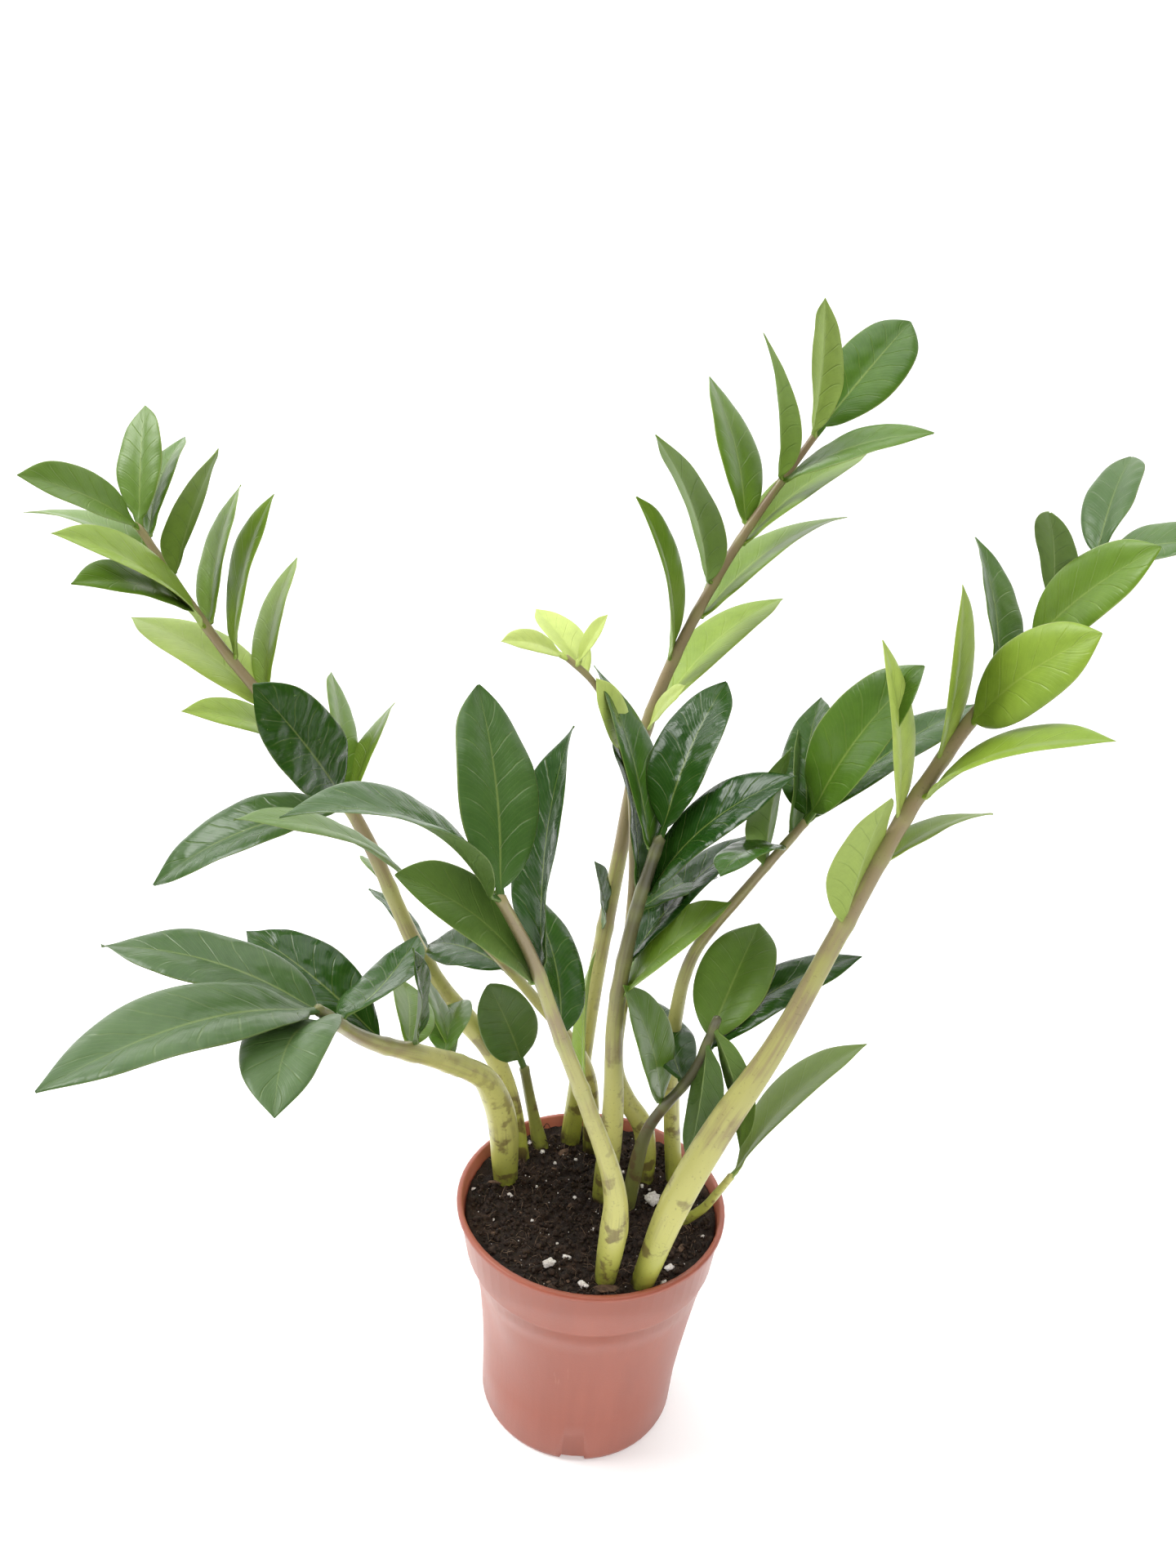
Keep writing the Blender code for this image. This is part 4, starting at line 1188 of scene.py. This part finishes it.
def make_roots(name, rng, starts, reach_out, thick, lifted, material):
    """One mesh of roots, one from each start."""
    points, faces = [], []
    for start in starts:
        tube, tube_faces = root_tube(rng, start, reach_out, thick, lifted)
        faces += [[v + len(points) * len(tube) for v in face] for face in tube_faces]
        points.append(tube)
    add_mesh(name, np.vstack(points), faces, material)


def make_rootlets(feet, pale, dark):
    """Fine roots that leave the stems' feet and dip into the peat, and wiry dark ones at the back."""
    rng = np.random.default_rng(23)
    starts = [(*foot, rng.uniform(0, 2 * np.pi)) for foot in feet for _ in range(ROOTS_PER_STEM)]
    make_roots("stem_rootlets", rng, starts, (4 * MM, 11 * MM), (0.10 * MM, 0.22 * MM), 0.0, pale)
    x, y = BACK_ROOTS_PLACE
    starts = [
        (x + rng.uniform(-0.008, 0.008), y + rng.uniform(-0.005, 0.006), 0.001, rng.uniform(0, 2 * np.pi))
        for _ in range(BACK_ROOTS)
    ]
    make_roots("dark_roots", rng, starts, (9 * MM, 22 * MM), (0.16 * MM, 0.32 * MM), 2.5 * MM, dark)


# Putting it together


def stem_of(leaf, stems):
    """The stem a leaflet's name starts with, trying the longest names first."""
    for stem in sorted(stems, key=len, reverse=True):
        if leaf.startswith(stem + "_"):
            return stem
    raise ValueError(leaf)


def of_leaf(table, stem, key, usual):
    """A leaflet's own value in a table kept by stem, or the usual one."""
    return table.get(stem, {}).get(key[len(stem) + 1:], usual)


def leaf_values(stem, key):
    """A leaflet's tone, a little off its table's, its bloom with painted sheen, and how puckered it is."""
    tone = of_leaf(LEAF_TONE, stem, key, STEM_TONE[stem])
    tone = float(np.clip(tone + chance(key + "tone").uniform(-0.04, 0.04), 0, 1))
    return tone, of_leaf(LEAF_BLOOM_AND_SHEEN, stem, key, 0.0), of_leaf(CRUMPLED, stem, key, 1.0)


def place_along(line, point):
    """How far along a stem's middle line the nearest place to a point lies."""
    centres, _radii, along = line
    places = np.linspace(along[0], along[-1], LINE_PLACES)
    fine = smooth_through(centres, along, places)
    return float(places[int(np.linalg.norm(fine - point, axis=1).argmin())])


def make_plant(frame, looks):
    nodes = frame["nodes"]
    lines = {n[5:]: stem_line(o) for n, o in nodes.items() if n.startswith("stem_")}
    scars = {stem: [] for stem in lines}
    for name in sorted(n for n in nodes if n.startswith("leaf_")):
        key = name[5:]
        stem = stem_of(key, lines)
        shape = blade_from_node(nodes[name], lines[stem])
        scars[stem].append(place_along(lines[stem], shape[0]))
        finish = leaf_values(stem, key)
        make_blade("fine_" + name, shape, lines[stem], finish, looks["leaf"], (name,))
    for stem, leaves in SMALL_LEAVES.items():
        for leaf in leaves:
            key = f"{stem}_{leaf[0]}"
            shape = blade_from_words(lines[stem], leaf)
            scars[stem].append(place_along(lines[stem], shape[0]))
            finish = leaf_values(stem, key)
            make_blade("small_leaf_" + key, shape, lines[stem], finish, looks["leaf"])
    for stem, line in lines.items():
        darkness = STEM_DARKNESS.get(stem, PLAIN_DARKNESS)
        make_stem(stem, line, scars[stem], darkness, looks["stem"])
    return lines


def stem_feet(lines):
    """Where each stem meets the soil: (x, y, radius)."""
    feet = []
    for centres, radii, along in lines.values():
        at = np.interp(soil_level(), centres[:, 2], along)
        point = smooth_through(centres, along, np.array([at]))[0]
        feet.append((point[0], point[1], float(np.interp(at, along, radii))))
    return feet


def dress_pot(frame, material):
    """The pot's own node, welded and shaded smooth except at its folds."""
    pot = frame["nodes"]["pot"]
    pot.data.materials.clear()
    pot.data.materials.append(material)
    weld = pot.modifiers.new("joined", "WELD")
    weld.merge_threshold = 1e-6
    pot.data.polygons.foreach_set("use_smooth", np.ones(len(pot.data.polygons), bool))
    pot.data.set_sharp_from_angle(angle=math.radians(35))


def make_floor():
    """A pale floor that curves up into a backdrop: a flat run, a quarter turn and an upright."""
    rows = 40
    flat, upright = 0.45, 0.70
    t = np.linspace(0, 1, rows)
    bend = np.clip((t - flat) / (upright - flat), 0, 1) * 0.5 * np.pi
    level_y = FLOOR_NEAR + (FLOOR_FAR - FLOOR_NEAR) * t / flat
    y = np.where(t < flat, level_y, FLOOR_FAR + FLOOR_BEND * np.sin(bend))
    z = np.where(t < flat, 0.0, FLOOR_BEND * (1 - np.cos(bend)))
    z = np.where(t > upright, FLOOR_BEND + (t - upright) / (1 - upright) * BACKDROP_HEIGHT, z)
    x = np.array([-FLOOR_HALF_WIDTH, FLOOR_HALF_WIDTH])
    points = np.stack(np.broadcast_arrays(x[None], y[:, None], z[:, None]), -1).reshape(-1, 3)
    a = np.arange(rows - 1)[:, None] * 2
    mesh = bpy.data.meshes.new("floor")
    mesh.from_pydata(points.tolist(), [], np.hstack([a, a + 1, a + 3, a + 2]).tolist())
    mesh.polygons.foreach_set("use_smooth", np.ones(len(mesh.polygons), bool))
    paint = new_material("white_paper")
    tree = paint.node_tree
    shader = node(tree, "ShaderNodeBsdfPrincipled")
    shader.inputs["Base Color"].default_value = (0.93, 0.93, 0.93, 1)
    shader.inputs["Roughness"].default_value = 0.9
    shader.inputs["Emission Color"].default_value = (1, 1, 1, 1)
    shader.inputs["Emission Strength"].default_value = FLOOR_GLOW
    out = node(tree, "ShaderNodeOutputMaterial")
    tree.links.new(shader.outputs[0], out.inputs["Surface"])
    mesh.materials.append(paint)
    floor = bpy.data.objects.new("floor", mesh)
    bpy.context.scene.collection.objects.link(floor)


def make_sky():
    """A white sky, stronger from behind than from the front, and even where the eye sees it."""
    world = bpy.data.worlds.new("soft_sky")
    world.use_nodes = True
    sky = world.node_tree
    away = node(sky, "ShaderNodeSeparateXYZ")
    sky.links.new(node(sky, "ShaderNodeTexCoord").outputs["Generated"], away.inputs[0])
    sky.nodes["Background"].inputs["Color"].default_value = (1, 1, 1, 1)
    strength = mapped(sky, away.outputs["Y"], -0.6, 0.6, SKY_FRONT, SKY_BACK)
    seen = node(sky, "ShaderNodeLightPath").outputs["Is Camera Ray"]
    plain = times(sky, seen, minus(sky, SKY_SEEN, strength))
    sky.links.new(plus(sky, strength, plain), sky.nodes["Background"].inputs["Strength"])
    bpy.context.scene.world = world
    bpy.context.scene.view_settings.view_transform = "Standard"


def make_lamps():
    """Square lamps aimed at the plant's middle."""
    for name, place, size, power, mirrored in LAMPS:
        lamp = bpy.data.lights.new(name, "AREA")
        lamp.size = size
        lamp.energy = power
        lamp_object = bpy.data.objects.new(name, lamp)
        lamp_object.location = place
        lamp_object.visible_glossy = mirrored
        aim = Vector((0, 0, 0.2)) - Vector(place)
        lamp_object.rotation_euler = aim.to_track_quat("-Z", "Y").to_euler()
        bpy.context.scene.collection.objects.link(lamp_object)


def make_camera():
    """The camera: above and in front of the rim, looking down past it, slightly rolled."""
    pitch, roll = math.radians(CAMERA_PITCH), math.radians(CAMERA_ROLL)
    camera = bpy.data.cameras.new("camera")
    camera.sensor_fit = "VERTICAL"
    camera.sensor_height = CAMERA_SENSOR
    camera.lens = CAMERA_LENS
    camera.clip_start = 0.02
    made = bpy.data.objects.new("camera", camera)
    forward = Vector((0, math.cos(pitch), -math.sin(pitch)))
    look = forward.to_track_quat("-Z", "Y").to_matrix().to_4x4()
    place = Matrix.Translation(Vector(CAMERA_PLACE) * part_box("pot")[1][0])
    made.matrix_world = place @ look @ Matrix.Rotation(roll, 4, "Z")
    bpy.context.scene.collection.objects.link(made)
    bpy.context.scene.camera = made


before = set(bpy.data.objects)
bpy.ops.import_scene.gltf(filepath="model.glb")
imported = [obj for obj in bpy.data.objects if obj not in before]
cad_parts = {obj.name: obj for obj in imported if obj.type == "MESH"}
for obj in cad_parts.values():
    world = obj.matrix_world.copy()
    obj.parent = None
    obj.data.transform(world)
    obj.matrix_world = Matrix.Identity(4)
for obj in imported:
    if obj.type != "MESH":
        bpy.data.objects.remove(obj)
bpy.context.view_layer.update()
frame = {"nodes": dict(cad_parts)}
dust = dust_group()
veins = vein_group()
looks = {
    "leaf": leaf_material("leaflet_skin", veins, dust),
    "stem": stem_material("stem_skin"),
    "pot": pot_material("pot_plastic", dust),
    "peat": peat_material("peat"),
}
lines = make_plant(frame, looks)
feet = stem_feet(lines)
make_soil(frame, looks["peat"])
dress_pot(frame, looks["pot"])
skins = {name: crumb_material(name, *values) for name, values in BIT_SKINS.items()}
for name, count, sizes, flat, sink, ragged, skin, seed in LOOSE_BITS:
    scatter(name, count, sizes, flat, sink, ragged, skins[skin], seed, feet)
fibres("peat_fibres", 260, (3 * MM, 9 * MM), (0.06 * MM, 0.14 * MM), skins["fibre"], feet, 15)
make_perlite_lumps(skins["perlite"])
make_bark_chips(skins["bark_chip"])
make_rootlets(feet, skins["fibre"], skins["root_skin"])
make_floor()
make_sky()
make_lamps()
make_camera()
